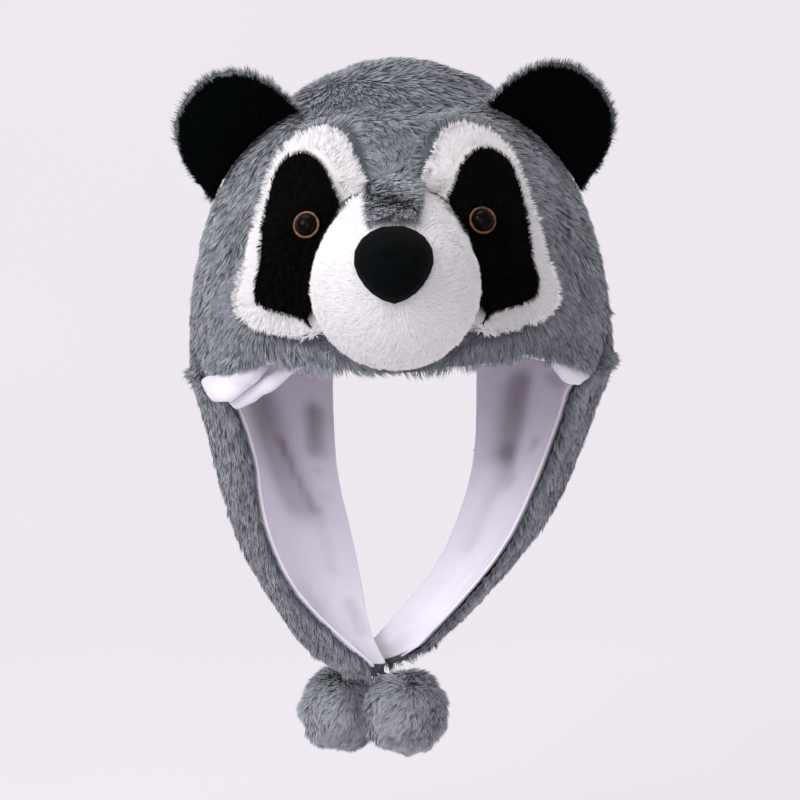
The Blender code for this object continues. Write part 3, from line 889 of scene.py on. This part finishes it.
@dataclass
class PlushCut:
    """One cut of plush that stands for a CAD solid: its cloth and its coat of hairs."""

    node: str
    slot: Slot
    coat: Coat
    flow: Flow
    hair: HairFinish
    backing: BackingFinish
    score: Callable[[Array, Array], Array]
    sunk: float = 3.0 * MM
    lined: float = 1.1 * MM
    voxel: float = 3 * MM
    cuts: int = 2
    rounds: int = 6
    dents: float = 0.0
    covers: tuple[str, ...] = ()
    meets: tuple[str, ...] = ()
    seed: int = 1
    tint: Callable[[Array], Array | float] | None = None
    fitted: Callable[[Array, Array], Array] | None = None

    def cloth(self, cupboard: Cupboard) -> tuple[bpy.types.Object, Array]:
        """Makes the cloth a little inside the solid, so that hair tips reach the solid's face.

        Args:
            cupboard: The finishes.

        Returns:
            The cloth, and each vertex's score for carrying hairs.
        """
        piece = new_piece(f"{self.node}_cloth", *cad_shape(self.node), cupboard.take(self.backing))
        if self.voxel:
            remeshed(piece, self.voxel)
        else:
            divided(piece, self.cuts)
        points = read(piece.data.vertices, "co", 3).astype(float)
        points = relaxed(points, read(piece.data.edges, "vertices", 2, np.int32), self.rounds)
        placed(piece, points)
        normals = normals_of(piece)
        outer = smooth(self.score(points, normals), -0.2, 0.2)
        depth = self.lined + (self.sunk - self.lined) * outer
        if self.dents:
            depth = depth + self.dents * outer * (0.5 - 0.5 * ripple(points, 0.045, self.seed))
        points = points - normals * depth[:, None] + self._seam_allowance(points)
        if self.fitted:
            points = self.fitted(points, normals)
        placed(piece, points)
        return piece, self.score(points, normals_of(piece))

    def _seam_allowance(self, points: Array) -> Array:
        """The moves that take the cloth's edge under the pieces that it is sewn to."""
        if not self.meets:
            return np.zeros_like(points)
        gap = nearest(tree_of(*self.meets), points) - points
        near = smooth(-np.linalg.norm(gap, axis=1), -5.0 * MM, -1.5 * MM)
        return unit(over_head(points, gap)) * (3.5 * MM * near)[:, None]

    def make(self, cupboard: Cupboard) -> tuple[bpy.types.Object, bpy.types.Object]:
        """Makes and joins both pieces.

        Args:
            cupboard: The finishes.

        Returns:
            The cloth and the hairs.
        """
        cloth, score = self.cloth(cupboard)
        barber = Barber(self.coat, self.flow, self.seed)
        stand = barber.stand(cloth, score, self.covers)
        tint = self.tint(stand.roots) if self.tint else 0.0
        hairs = barber.grow(f"{self.node}_pile", stand, cupboard.take(self.hair), tint)
        joined_to_frame(cloth, self.slot, self.node)
        joined_to_frame(hairs, self.slot, self.node)
        return cloth, hairs


@dataclass
class Crown:
    """The hat's two outer panels, of long grey plush, and the lining inside them."""

    back_coat: Coat = Coat(6.8 * MM, 0.40 * MM, 1.15e6, lean=73, spread=4, pull=0.13, swirl=26, swirl_size=0.06)
    face_coat: Coat = Coat(6.4 * MM, 0.32 * MM, 2.6e6, lean=72, spread=4, pull=0.13, swirl=30, swirl_size=0.06)
    back_cut: tuple[float, float] = (0.42, 0.26)
    back_area: float = 0.072
    face_cut: tuple[float, float] = (0.27, 0.20)
    face_area: float = 0.040
    lining_cut: tuple[float, float] = (0.40, 0.36)
    lining_area: float = 0.099
    crest: Point = (-0.14, -0.10, 0.22)
    rim: float = 0.158
    rim_tint: float = 0.25

    def make(self, cupboard: Cupboard) -> None:
        """Makes both panels and the lining."""
        shun = tuple(f"eye_surround_{side.word}" for side in Side)
        grey = dict(
            slot=Slot.GREY, hair=cupboard.grey_hair, backing=cupboard.grey_backing,
            tint=lambda roots: self.rim_tint * smooth(-roots[:, 2], self.rim - 0.014, self.rim),
        )
        back = PlushCut(
            "crown_back", coat=self.back_coat, flow=Flow(self.crest, down=0.2), score=outward,
            sunk=2.3 * MM, voxel=4 * MM, dents=1.0 * MM, seed=11, **grey,
        )
        face = PlushCut(
            "face_panel", coat=self.face_coat, flow=Flow(self.crest, shun=shun, fade=0.007),
            score=outward, covers=(*shun, "muzzle", "nose_bridge"), meets=("crown_back",), sunk=2.2 * MM, voxel=3.6 * MM,
            dents=0.6 * MM, seed=12, **grey,
        )
        for cut, flat, area in (
            (back, self.back_cut, self.back_area), (face, self.face_cut, self.face_area)
        ):
            cloth, hairs = cut.make(cupboard)
        self._lining(cupboard)

    def _lining(self, cupboard: Cupboard) -> None:
        """Makes the lining with shallow dimples."""
        node = "crown_lining"
        piece = new_piece(f"{node}_fleece", *cad_shape(node), cupboard.take(cupboard.fleece))
        divided(piece, 3)
        points = read(piece.data.vertices, "co", 3).astype(float)
        points = relaxed(points, read(piece.data.edges, "vertices", 2, np.int32), 5)
        placed(piece, points)
        inwards = unit(np.array(HEAD_MIDDLE) - points)
        deep = 1.2 * MM * (0.5 + 0.5 * ripple(points, 0.04, 31))
        placed(piece, points + inwards * deep[:, None])
        joined_to_frame(piece, Slot.LINING, node)


@dataclass
class EyePanels:
    """The white surround and the black patch on each side of the face."""

    white_coat: Coat = Coat(
        4.2 * MM, 0.30 * MM, 3.8e6, lean=72, spread=4, tuft=2.2 * MM, pull=0.15, swirl=18,
        tone_swing=0.05,
    )
    black_coat: Coat = Coat(3.4 * MM, 0.32 * MM, 3.0e6, lean=68, spread=5, tuft=2.4 * MM, swirl=18)
    white_cut: tuple[float, float] = (0.078, 0.128)
    white_area: float = 0.0054
    black_cut: tuple[float, float] = (0.049, 0.100)
    black_area: float = 0.0028
    tuck: float = 3.4 * MM
    overlap: float = 2.0 * MM
    white_in: tuple[float, float, float] = (2.5 * MM, 7.0 * MM, 2.0 * MM)
    black_in: tuple[float, float, float] = (2.0 * MM, 5.5 * MM, 2.0 * MM)

    def make(self, cupboard: Cupboard) -> None:
        """Makes both panels of both sides."""
        for side in Side:
            self._side(cupboard, side)

    def _side(self, cupboard: Cupboard, side: Side) -> None:
        """Makes one side's two panels."""
        surround, patch = f"eye_surround_{side.word}", f"eye_patch_{side.word}"
        low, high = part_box(patch)
        middle = tuple((np.array(low) + np.array(high)) / 2 + np.array((0, 0.004, 0)))
        thin = dict(voxel=0.0, cuts=2, rounds=3, lined=0.4 * MM)
        off = off_the("crown_lining", 0.15)
        white = PlushCut(
            surround, Slot.WHITE, self.white_coat, Flow(middle, shun=(patch,), fade=0.03),
            cupboard.white_hair, cupboard.white_backing,
            lambda points, normals: off(points, normals) - 2 * self._tucked(points),
            sunk=1.5 * MM, covers=(patch,), seed=21 + side.value,
            fitted=lambda points, normals: self._white_fit(points, surround), **thin,
        )
        black = PlushCut(
            patch, Slot.BLACK, self.black_coat, Flow(middle), cupboard.black_hair,
            cupboard.black_backing, off, sunk=0.9 * MM, covers=(f"eye_{side.word}",),
            seed=24 + side.value, fitted=lambda points, normals: self._black_fit(points, patch), **thin,
        )
        for cut, flat, area, under in (
            (white, self.white_cut, self.white_area, "face_panel"),
            (black, self.black_cut, self.black_area, surround),
        ):
            cloth, hairs = cut.make(cupboard)

    def _white_fit(self, points: Array, node: str) -> Array:
        """A surround's points, drawn in by its hairs' reach, closed up to the muzzle and tucked."""
        points = self._drawn_in(points, node, self.white_in)
        points = self._closed(points, 1 - self._beside_patch(points))
        out = unit(points - np.array(HEAD_MIDDLE))
        return points - out * (self.tuck * self._tucked(points))[:, None]

    def _black_fit(self, points: Array, node: str) -> Array:
        """A patch's points, drawn in by its hairs' reach and closed up to the muzzle."""
        points = self._drawn_in(points, node, self.black_in)
        return self._closed(points, self._beside_patch(points))

    def _drawn_in(self, points: Array, node: str, margins: tuple[float, float, float]) -> Array:
        """Draws a panel's edges in over the head, so that its hairs end where the panel does.

        Args:
            points: The panel's points.
            node: The panel's node.
            margins: How far its sides, top and foot come in.

        Returns:
            The moved points.
        """
        low, high = (np.array(corner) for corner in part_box(node))
        share = (points - (low + high) / 2) / ((high - low) / 2)
        sides, top, foot = margins
        move = np.zeros_like(points)
        move[:, 0] = -sides * share[:, 0]
        move[:, 2] = -np.where(share[:, 2] > 0, top, foot) * share[:, 2]
        return points + over_head(points, move)

    def _closed(self, points: Array, share: Array) -> Array:
        """Points near the muzzle moved over the head up to it, by each one's share."""
        gap = nearest(tree_of("muzzle"), points) - points
        far = np.linalg.norm(gap, axis=1)
        reach = smooth(-far, -0.012, -0.006) * share * (1 + self.overlap / np.maximum(far, 0.5 * MM))
        return points + over_head(points, gap) * reach[:, None]

    def _beside_patch(self, points: Array) -> Array:
        """How far each point lies at the height where the black patch meets the muzzle."""
        return smooth(-points[:, 2], 0.055, 0.062) * (1 - smooth(-points[:, 2], 0.117, 0.123))

    def _tucked(self, points: Array) -> Array:
        """How far each point lies in the strip that the black patch hides beside the muzzle."""
        far = np.linalg.norm(points - nearest(tree_of("muzzle"), points), axis=1)
        return smooth(-far, -0.013, -0.008) * self._beside_patch(points)


def revolved(
    name: str, middle: Vector, axis: Vector, profile: Sequence[tuple[float, float]],
    steps: int, material: bpy.types.Material, closed: bool,
) -> bpy.types.Object:
    """A turned body.

    Args:
        name: Its name.
        middle: The axis's foot.
        axis: The axis's way.
        profile: Distances from the axis and along it.
        steps: Points round.
        material: What it wears.
        closed: Whether the profile ends where it starts, as a ring's does.

    Returns:
        The body.
    """
    turn = axis.to_track_quat("Z", "Y").to_matrix()
    rows = len(profile)
    points = [
        middle + turn @ Vector((r * math.cos(a), r * math.sin(a), h))
        for r, h in profile
        for a in (2 * math.pi * k / steps for k in range(steps))
    ]
    faces = [
        (i * steps + k, i * steps + (k + 1) % steps, j * steps + (k + 1) % steps, j * steps + k)
        for i, j in ((i, (i + 1) % rows) for i in range(rows if closed else rows - 1))
        for k in range(steps)
    ]
    return new_piece(name, np.array(points), np.array(faces), material)


@dataclass
class Eyes:
    """The two domes and the thin rings round them."""

    dome_radius: float = 5.6 * MM
    bulge: float = 4.4 * MM
    foot: float = 1.2 * MM
    ring_radius: float = 6.3 * MM
    wire: float = 0.75 * MM
    steps: int = 48

    def make(self, cupboard: Cupboard) -> None:
        """Makes both eyes."""
        for side in Side:
            middle, axis = self._seat(f"eye_ring_{side.word}")
            self._dome(cupboard, side, middle, axis)
            self._ring(cupboard, side, middle, axis)

    def _seat(self, node: str) -> tuple[Vector, Vector]:
        """Where an eye sits.

        Args:
            node: The CAD ring.

        Returns:
            The ring's middle and its axis, which points out of the face.
        """
        points, _ = cad_shape(node)
        middle = (points.min(0) + points.max(0)) / 2
        axis = np.linalg.svd(points - points.mean(0))[2][2]
        axis = axis if axis[1] < 0 else -axis
        return Vector(middle), Vector(axis)

    def _dome(self, cupboard: Cupboard, side: Side, middle: Vector, axis: Vector) -> None:
        """Makes one dome."""
        turns = np.linspace(0, math.pi / 2, 13)
        profile = [(0.02 * MM, -self.foot), (self.dome_radius, -self.foot)]
        profile += [
            (max(self.dome_radius * math.cos(t), 0.02 * MM), self.bulge * math.sin(t)) for t in turns
        ]
        dome = revolved(
            f"eye_{side.word}_dome", middle, axis, profile, self.steps, cupboard.take(cupboard.dome),
            False,
        )
        joined_to_frame(dome, Slot.DOME, f"eye_{side.word}")

    def _ring(self, cupboard: Cupboard, side: Side, middle: Vector, axis: Vector) -> None:
        """Makes one ring."""
        turns = (2 * math.pi * k / 12 for k in range(12))
        profile = [
            (self.ring_radius + self.wire * math.cos(t), self.wire * math.sin(t)) for t in turns
        ]
        ring = revolved(
            f"eye_{side.word}_ring", middle, axis, profile, self.steps, cupboard.take(cupboard.ring),
            True,
        )
        joined_to_frame(ring, Slot.RING, f"eye_ring_{side.word}")


@dataclass
class Snout:
    """The stuffed muzzle, the bridge over it and the velvet nose."""

    white_coat: Coat = Coat(
        3.6 * MM, 0.34 * MM, 2.6e6, lean=74, spread=4, tuft=2.2 * MM, pull=0.1, swirl=25,
        tone_swing=0.05,
    )
    bridge_coat: Coat = Coat(5.6 * MM, 0.32 * MM, 3.4e6, lean=68, spread=4, tuft=2.6 * MM, pull=0.2)
    bridge_cut: tuple[float, float] = (0.034, 0.048)
    bridge_area: float = 0.0015
    # Painted light: lifts the tone of every bridge hair, to make up for the shadow that the nose casts on it.
    bridge_painted_light: float = 0.3
    groove: float = 2.6 * MM
    groove_depth: float = 1.5 * MM

    def make(self, cupboard: Cupboard) -> None:
        """Makes all three."""
        muzzle = PlushCut(
            "muzzle", Slot.WHITE, self.white_coat, Flow((0, -0.200, -0.098)), cupboard.white_hair,
            cupboard.white_backing, all_over, sunk=2.2 * MM, voxel=2.4 * MM, rounds=8,
            covers=("nose", "nose_bridge"), seed=41, fitted=self._grooved,
        )
        cloth, hairs = muzzle.make(cupboard)
        bridge = PlushCut(
            "nose_bridge", Slot.GREY, self.bridge_coat, Flow((-0.05, -0.10, 0.02)),
            cupboard.grey_hair, cupboard.grey_backing, off_the("muzzle", 0.15), sunk=0.9 * MM,
            lined=0.4 * MM, voxel=0.0, cuts=2, rounds=3, seed=42,
            # painted light on the bridge's hairs
            tint=lambda roots: self.bridge_painted_light,
        )
        cloth, hairs = bridge.make(cupboard)
        self._nose(cupboard)

    def _grooved(self, points: Array, normals: Array) -> Array:
        """The muzzle's points with the short seam drawn in below the nose."""
        drop = -points[:, 2]
        share = np.exp(-((points[:, 0] / self.groove) ** 2)) * smooth(-points[:, 1], 0.13, 0.15)
        share = share * smooth(drop, 0.098, 0.106) * (1 - smooth(drop, 0.114, 0.126))
        return points - normals * (self.groove_depth * share)[:, None]

    def _nose(self, cupboard: Cupboard) -> None:
        """Makes the nose."""
        piece = new_piece("nose_velvet", *cad_shape("nose"), cupboard.take(cupboard.velvet))
        remeshed(piece, 1.1 * MM)
        points = read(piece.data.vertices, "co", 3).astype(float)
        points = relaxed(points, read(piece.data.edges, "vertices", 2, np.int32), 12)
        placed(piece, points)
        joined_to_frame(piece, Slot.NOSE, "nose")


@dataclass
class Ears:
    """The two ears: black in front, pale grey behind, with the pale pile round the rim."""

    front_coat: Coat = Coat(3.6 * MM, 0.32 * MM, 2.8e6, lean=68, spread=5, tuft=2.6 * MM, swirl=25)
    back_coat: Coat = Coat(
        4.4 * MM, 0.32 * MM, 2.3e6, lean=60, spread=5, tuft=2.8 * MM, pull=0.13, swirl=20, tone=0.6
    )

    def make(self, cupboard: Cupboard) -> None:
        """Makes both ears."""
        for side in Side:
            front, back = f"ear_front_{side.word}", f"ear_back_{side.word}"
            low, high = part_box(back)
            middle = tuple((np.array(low) + np.array(high)) / 2 + np.array((-0.01 * side.value, 0, -0.01)))
            cuts = (
                PlushCut(
                    front, Slot.BLACK, self.front_coat, Flow(middle), cupboard.ear_hair,
                    cupboard.black_backing, off_the(back, 0.1), sunk=1.6 * MM, lined=0.6 * MM,
                    voxel=1.8 * MM, seed=51 + side.value,
                ),
                PlushCut(
                    back, Slot.PALE, self.back_coat, Flow(middle), cupboard.pale_hair,
                    cupboard.pale_backing, off_the(front, 0.3), sunk=2.6 * MM, lined=0.6 * MM,
                    voxel=1.9 * MM, seed=54 + side.value,
                ),
            )
            for cut in cuts:
                cloth, hairs = cut.make(cupboard)


def grid(rows: int, steps: int) -> Array:
    """The triangles of a closed tube whose points run round each of its rings in turn.

    Args:
        rows: How many rings it has.
        steps: How many points a ring has.

    Returns:
        The triangles' corners, with a fan over each end.
    """
    faces = []
    for i in range(rows - 1):
        for k in range(steps):
            a, b = i * steps + k, i * steps + (k + 1) % steps
            faces += [(a, b, b + steps), (a, b + steps, a + steps)]
    last = (rows - 1) * steps
    faces += [(rows * steps, (k + 1) % steps, k) for k in range(steps)]
    faces += [(rows * steps + 1, last + k, last + (k + 1) % steps) for k in range(steps)]
    return np.array(faces)


@dataclass(frozen=True)
class Roll:
    """One turned-out edge of the lining: stations of place, half height and half depth."""

    name: str
    stations: tuple[tuple[float, float, float, float, float], ...]


@dataclass
class Cuffs:
    """The lining's edge where it is turned out under the face panel's two lower corners."""

    rolls: tuple[Roll, ...] = (
        Roll("lining_cuff_right", (
            (-0.1015, -0.0615, -0.1585, 0.0025, 0.0030), (-0.0965, -0.0690, -0.1610, 0.0070, 0.0045),
            (-0.0880, -0.0765, -0.1600, 0.0080, 0.0048), (-0.0785, -0.0830, -0.1550, 0.0060, 0.0042),
            (-0.0690, -0.0880, -0.1490, 0.0020, 0.0030),
        )),
        Roll("lining_fold_right", (
            (-0.0955, -0.0600, -0.1625, 0.0020, 0.0020), (-0.0860, -0.0680, -0.1680, 0.0045, 0.0026),
            (-0.0750, -0.0780, -0.1630, 0.0050, 0.0026), (-0.0620, -0.0870, -0.1545, 0.0040, 0.0024),
            (-0.0500, -0.0960, -0.1480, 0.0015, 0.0020),
        )),
        Roll("lining_cuff_left", (
            (0.0985, -0.0600, -0.1590, 0.0020, 0.0025), (0.0930, -0.0675, -0.1600, 0.0050, 0.0040),
            (0.0865, -0.0730, -0.1570, 0.0048, 0.0040), (0.0800, -0.0775, -0.1510, 0.0018, 0.0025),
        )),
    )
    rows: int = 28
    steps: int = 18

    def make(self, cupboard: Cupboard) -> None:
        """Makes the turned-out edges."""
        for i, roll in enumerate(self.rolls):
            spots = np.array(roll.stations)
            along = np.linspace(0, len(spots) - 1, self.rows)
            rings = np.stack([self._eased(spots[:, k], along) for k in range(5)], 1)
            out = unit(rings[:, :3] * (1, 1, 0))
            turns = np.linspace(0, 2 * math.pi, self.steps, endpoint=False)
            points = (
                rings[:, None, :3]
                + out[:, None] * (rings[:, 4, None] * np.cos(turns))[:, :, None]
                + np.array((0, 0, 1)) * (rings[:, 3, None] * np.sin(turns))[:, :, None]
            ).reshape(-1, 3)
            points = np.concatenate([points, rings[[0, -1], :3]])
            piece = new_piece(roll.name, points, grid(self.rows, self.steps), cupboard.take(cupboard.fleece))
            placed(piece, points + normals_of(piece) * (0.6 * MM * ripple(points, 0.014, 81 + i))[:, None])
            # Darkens the cuffs evenly towards the fleece's painted shade colour, with a random ripple.
            pressed(piece, 0.26 + 0.12 * ripple(points, 0.02, 91 + i))
            joined_to_frame(piece, Slot.LINING, "crown_lining")

    def _eased(self, values: Array, along: Array) -> Array:
        """Values between the stations on a smooth curve through them."""
        before = np.clip(np.floor(along).astype(int), 0, len(values) - 2)
        share = along - before
        share = share * share * (3 - 2 * share) * 0.4 + share * 0.6
        return values[before] * (1 - share) + values[before + 1] * share


@dataclass(frozen=True)
class Hollow:
    """A dip in a flap's lining, round a line from one place to another, with painted shade in it."""

    start: Point
    end: Point
    width: float
    depth: float
    # How much painted shade darkens the fleece in the hollow.
    shade: float

    def share(self, points: Array) -> Array:
        """How deep in the hollow each point lies, from 0 to 1."""
        first, last = np.array(self.start), np.array(self.end)
        line = last - first
        along = np.clip(((points - first) @ line) / max(line @ line, 1e-9), 0, 1)
        far = np.linalg.norm(points - first - along[:, None] * line, axis=1)
        return 1 / (1 + (far / self.width) ** 4)


@dataclass
class Flaps:
    """The two long flaps: grey plush outside and fleece inside, with the hollows it hangs in."""

    coat: Coat = Coat(6.2 * MM, 0.36 * MM, 1.9e6, lean=72, spread=4, pull=0.13, swirl=26)
    cut: tuple[float, float] = (0.135, 0.235)
    area: float = 0.0224
    lining_cut: tuple[float, float] = (0.130, 0.230)
    lining_area: float = 0.0212
    fold: float = 3.4 * MM
    edge: float = 14 * MM
    between: Point = (0.0, 0.0, -0.240)
    # Each hollow's last number is its share of painted shade.
    hollows: dict[Side, tuple[Hollow, ...]] = field(default_factory=lambda: {
        Side.RIGHT: (
            Hollow((-0.083, 0.054, -0.182), (-0.062, 0.040, -0.238), 12.0 * MM, 3.2 * MM, 0.40),
            Hollow((-0.071, 0.054, -0.204), (-0.051, 0.040, -0.244), 2.4 * MM, 2.6 * MM, 0.25),
            Hollow((-0.051, 0.040, -0.244), (-0.042, 0.022, -0.275), 3.0 * MM, 1.5 * MM, 0.10),
            Hollow((-0.053, 0.075, -0.191), (-0.052, 0.063, -0.211), 5.5 * MM, 2.6 * MM, 0.42),
            Hollow((-0.050, 0.056, -0.223), (-0.050, 0.056, -0.224), 2.4 * MM, 1.5 * MM, 0.15),
            Hollow((-0.047, 0.048, -0.236), (-0.046, 0.048, -0.237), 2.4 * MM, 1.4 * MM, 0.12),
            Hollow((-0.032, 0.013, -0.293), (-0.026, 0.007, -0.306), 4.0 * MM, 1.4 * MM, 0.22),
            Hollow((-0.060, 0.008, -0.280), (-0.049, 0.006, -0.295), 4.0 * MM, 1.6 * MM, 0.10),
        ),
        Side.LEFT: (
            Hollow((0.068, 0.074, -0.178), (0.059, 0.058, -0.214), 9.5 * MM, 3.2 * MM, 0.42),
            Hollow((0.059, 0.058, -0.214), (0.061, 0.045, -0.229), 5.0 * MM, 2.3 * MM, 0.22),
            Hollow((0.054, 0.050, -0.230), (0.036, 0.034, -0.264), 5.0 * MM, 1.7 * MM, 0.14),
            Hollow((0.075, 0.043, -0.208), (0.076, 0.043, -0.209), 3.4 * MM, 2.1 * MM, 0.25),
            Hollow((0.087, 0.055, -0.172), (0.094, 0.040, -0.175), 4.0 * MM, 1.6 * MM, 0.20),
        ),
    })

    def make(self, cupboard: Cupboard) -> None:
        """Makes both flaps."""
        for side in Side:
            node, lining = f"flap_{side.word}", f"flap_lining_{side.word}"
            plush = PlushCut(
                node, Slot.GREY, self.coat, Flow((-0.10, -0.05, 0.12), down=0.6),
                cupboard.grey_hair, cupboard.grey_backing, self._outside(lining), sunk=2.2 * MM,
                lined=0.4 * MM, voxel=2.8 * MM, dents=0.5 * MM, seed=61 + side.value,
                meets=("crown_back", "face_panel"),
            )
            cloth, hairs = plush.make(cupboard)
            self._lining(cupboard, side, node, lining)

    def _outside(self, lining: str) -> Callable[[Array, Array], Array]:
        """A score for a flap's outside and its outer edge, but not for the edge by the wearer's chin.

        Args:
            lining: The flap's lining.

        Returns:
            The function that gives the score.
        """
        off = off_the(lining, 0.45)

        def score(points: Array, normals: Array) -> Array:
            """The score of each point."""
            inward = (normals * unit(np.array(self.between) - points)).sum(1)
            return off(points, normals) - 2.5 * smooth(inward, 0.15, 0.40)

        return score

    def _lining(self, cupboard: Cupboard, side: Side, node: str, lining: str) -> None:
        """Makes one flap's lining, filled out between its sewn edges but for its hollows, with painted shade
        towards its top and in its hollows.

        Args:
            cupboard: The finishes.
            side: The wearer's side.
            node: The flap that it lies on.
            lining: The lining's node.
        """
        piece = new_piece(f"{lining}_fleece", *cad_shape(lining), cupboard.take(cupboard.fleece))
        divided(piece, 4)
        points = read(piece.data.vertices, "co", 3).astype(float)
        edges = read(piece.data.edges, "vertices", 2, np.int32)
        points = relaxed(points, edges, 6)
        placed(piece, points)
        normals = normals_of(piece)
        off = unit(points - nearest(tree_of(node), points))
        rim = np.abs((normals * off).sum(1)) < 0.6
        tree = KDTree(int(rim.sum()))
        for i, point in enumerate(points[rim].tolist()):
            tree.insert(point, i)
        tree.balance()
        inside = smooth(np.array([tree.find(p)[2] for p in points.tolist()]), 0.0, self.edge)
        height = self.fold * (1 + 0.12 * ripple(points * np.array((1, 1, 0.4)), 0.03, 64 + side.value))
        # Painted shade: the fleece darkens towards its top, under the rim, and more in each hollow.
        shade = 0.46 * smooth(points[:, 2], -0.250, -0.180)
        for hollow in self.hollows[side]:
            share = hollow.share(points)
            height = height - hollow.depth * share
            shade = shade + hollow.shade * share
        placed(piece, relaxed(points + off * (np.maximum(height, 0) * inside)[:, None], edges, 5))
        pressed(piece, shade)
        joined_to_frame(piece, Slot.LINING, lining)


@dataclass
class Pompoms:
    """The two pompoms under the flaps' tips."""

    core: float = 0.0203
    coat: Coat = Coat(
        6.6 * MM, 0.34 * MM, 4.2e6, lean=66, spread=5, tuft=2.8 * MM, pull=0.13, swirl=45,
        swirl_size=0.03, tone=0.85,
    )

    def make(self, cupboard: Cupboard) -> None:
        """Makes both pompoms."""
        for side in Side:
            node = f"pompom_{side.word}"
            low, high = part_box(node)
            middle = (np.array(low) + np.array(high)) / 2
            work = bmesh.new()
            bmesh.ops.create_icosphere(work, subdivisions=4, radius=self.core)
            points = np.array([v.co for v in work.verts])
            faces = np.array([[v.index for v in f.verts] for f in work.faces])
            work.free()
            points = points * (1 + 0.06 * ripple(points, 0.012, 71 + side.value))[:, None] + middle
            cloth = new_piece(f"{node}_core", points, faces, cupboard.take(cupboard.grey_backing))
            barber = Barber(self.coat, Flow(tuple(middle + (0, 0, 0.03)), down=0.4), 73 + side.value)
            stand = barber.stand(cloth, np.ones(len(points)), ())
            hairs = barber.grow(f"{node}_pile", stand, cupboard.take(cupboard.grey_hair))
            joined_to_frame(cloth, Slot.GREY, node)
            joined_to_frame(hairs, Slot.GREY, node)


@dataclass
class Lamp:
    """One soft box."""

    name: str
    place: Point
    width: float
    power: float
    colour: tuple[float, float, float] = (1.0, 1.0, 1.0)


@dataclass
class Studio:
    """The camera, the paper and the lights."""

    distance: float = 1.400
    elevation: float = 6.0
    azimuth: float = 0.8
    roll: float = 1.5
    metres_a_pixel: float = 0.00055
    picture: int = 800
    target: Point = (-0.0011, 0.0, -0.177)
    floor: float = -0.46
    lamps: tuple[Lamp, ...] = (
        Lamp("key", (-1.15, -1.15, 0.75), 1.2, 19.0),
        Lamp("fill", (-0.15, -1.90, 0.10), 1.3, 7.0),
        Lamp("top", (-0.25, -0.10, 1.15), 1.0, 6.0),
    )
    sky: float = 0.62

    def make(self, cupboard: Cupboard) -> None:
        """Sets up the studio."""
        self._camera()
        self._paper(cupboard)
        for lamp in self.lamps:
            self._lamp(lamp)
        world = bpy.data.worlds.new("studio")
        world.use_nodes = True
        sky = world.node_tree.nodes["Background"]
        sky.inputs["Color"].default_value = srgb(250, 246, 250)
        sky.inputs["Strength"].default_value = self.sky
        bpy.context.scene.world = world
        bpy.context.scene.view_settings.view_transform = "Standard"

    def _camera(self) -> None:
        """Puts the camera at the photograph's angle."""
        rise, turn, tilt = (math.radians(x) for x in (self.elevation, self.azimuth, self.roll))
        back = Vector((
            math.sin(turn) * math.cos(rise), -math.cos(turn) * math.cos(rise), math.sin(rise)
        ))
        right = (-back).cross(Vector((0, 0, 1))).normalized()
        up = right.cross(-back)
        leaning = math.cos(tilt) * right - math.sin(tilt) * up
        up = math.sin(tilt) * right + math.cos(tilt) * up
        data = bpy.data.cameras.new("camera")
        data.sensor_width = 36.0
        data.lens = 36.0 * self.distance / (self.picture * self.metres_a_pixel)
        data.clip_start, data.clip_end = 0.05, 30.0
        camera = bpy.data.objects.new("camera", data)
        place = Matrix((leaning, up, back)).transposed().to_4x4()
        place.translation = Vector(self.target) + self.distance * back
        camera.matrix_world = place
        bpy.context.scene.collection.objects.link(camera)
        bpy.context.scene.camera = camera

    def _paper(self, cupboard: Cupboard) -> None:
        """Lays the floor and curves it up behind the hat."""
        bend, wall, front, half, top = 0.8, 1.6, -3.0, 4.0, 4.0
        line = [(front, self.floor), (wall - bend, self.floor)]
        line += [
            (wall - bend + bend * math.sin(t), self.floor + bend * (1 - math.cos(t)))
            for t in np.linspace(0, math.pi / 2, 17)[1:]
        ]
        line.append((wall, top))
        points = np.array([(x, y, z) for y, z in line for x in (-half, half)])
        faces = np.array([(2 * i, 2 * i + 1, 2 * i + 3, 2 * i + 2) for i in range(len(line) - 1)])
        new_piece("studio_paper", points, faces, cupboard.take(cupboard.paper))

    def _lamp(self, lamp: Lamp) -> None:
        """Hangs one soft box, aimed at the hat."""
        data = bpy.data.lights.new(lamp.name, "AREA")
        data.shape, data.size, data.energy, data.color = "DISK", lamp.width, lamp.power, lamp.colour
        light = bpy.data.objects.new(lamp.name, data)
        light.location = lamp.place
        aim = Vector((0, 0, -0.15)) - Vector(lamp.place)
        light.rotation_mode = "QUATERNION"
        light.rotation_quaternion = aim.to_track_quat("-Z", "Y")
        bpy.context.scene.collection.objects.link(light)


def main() -> None:
    logging.basicConfig(level=logging.INFO, format="%(message)s")
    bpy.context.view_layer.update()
    cupboard = Cupboard()
    Studio().make(cupboard)
    for part in (Crown(), Cuffs(), EyePanels(), Eyes(), Snout(), Ears(), Flaps(), Pompoms()):
        log.info("making %s", type(part).__name__)
        part.make(cupboard)


if __name__ == "__main__":
    main()
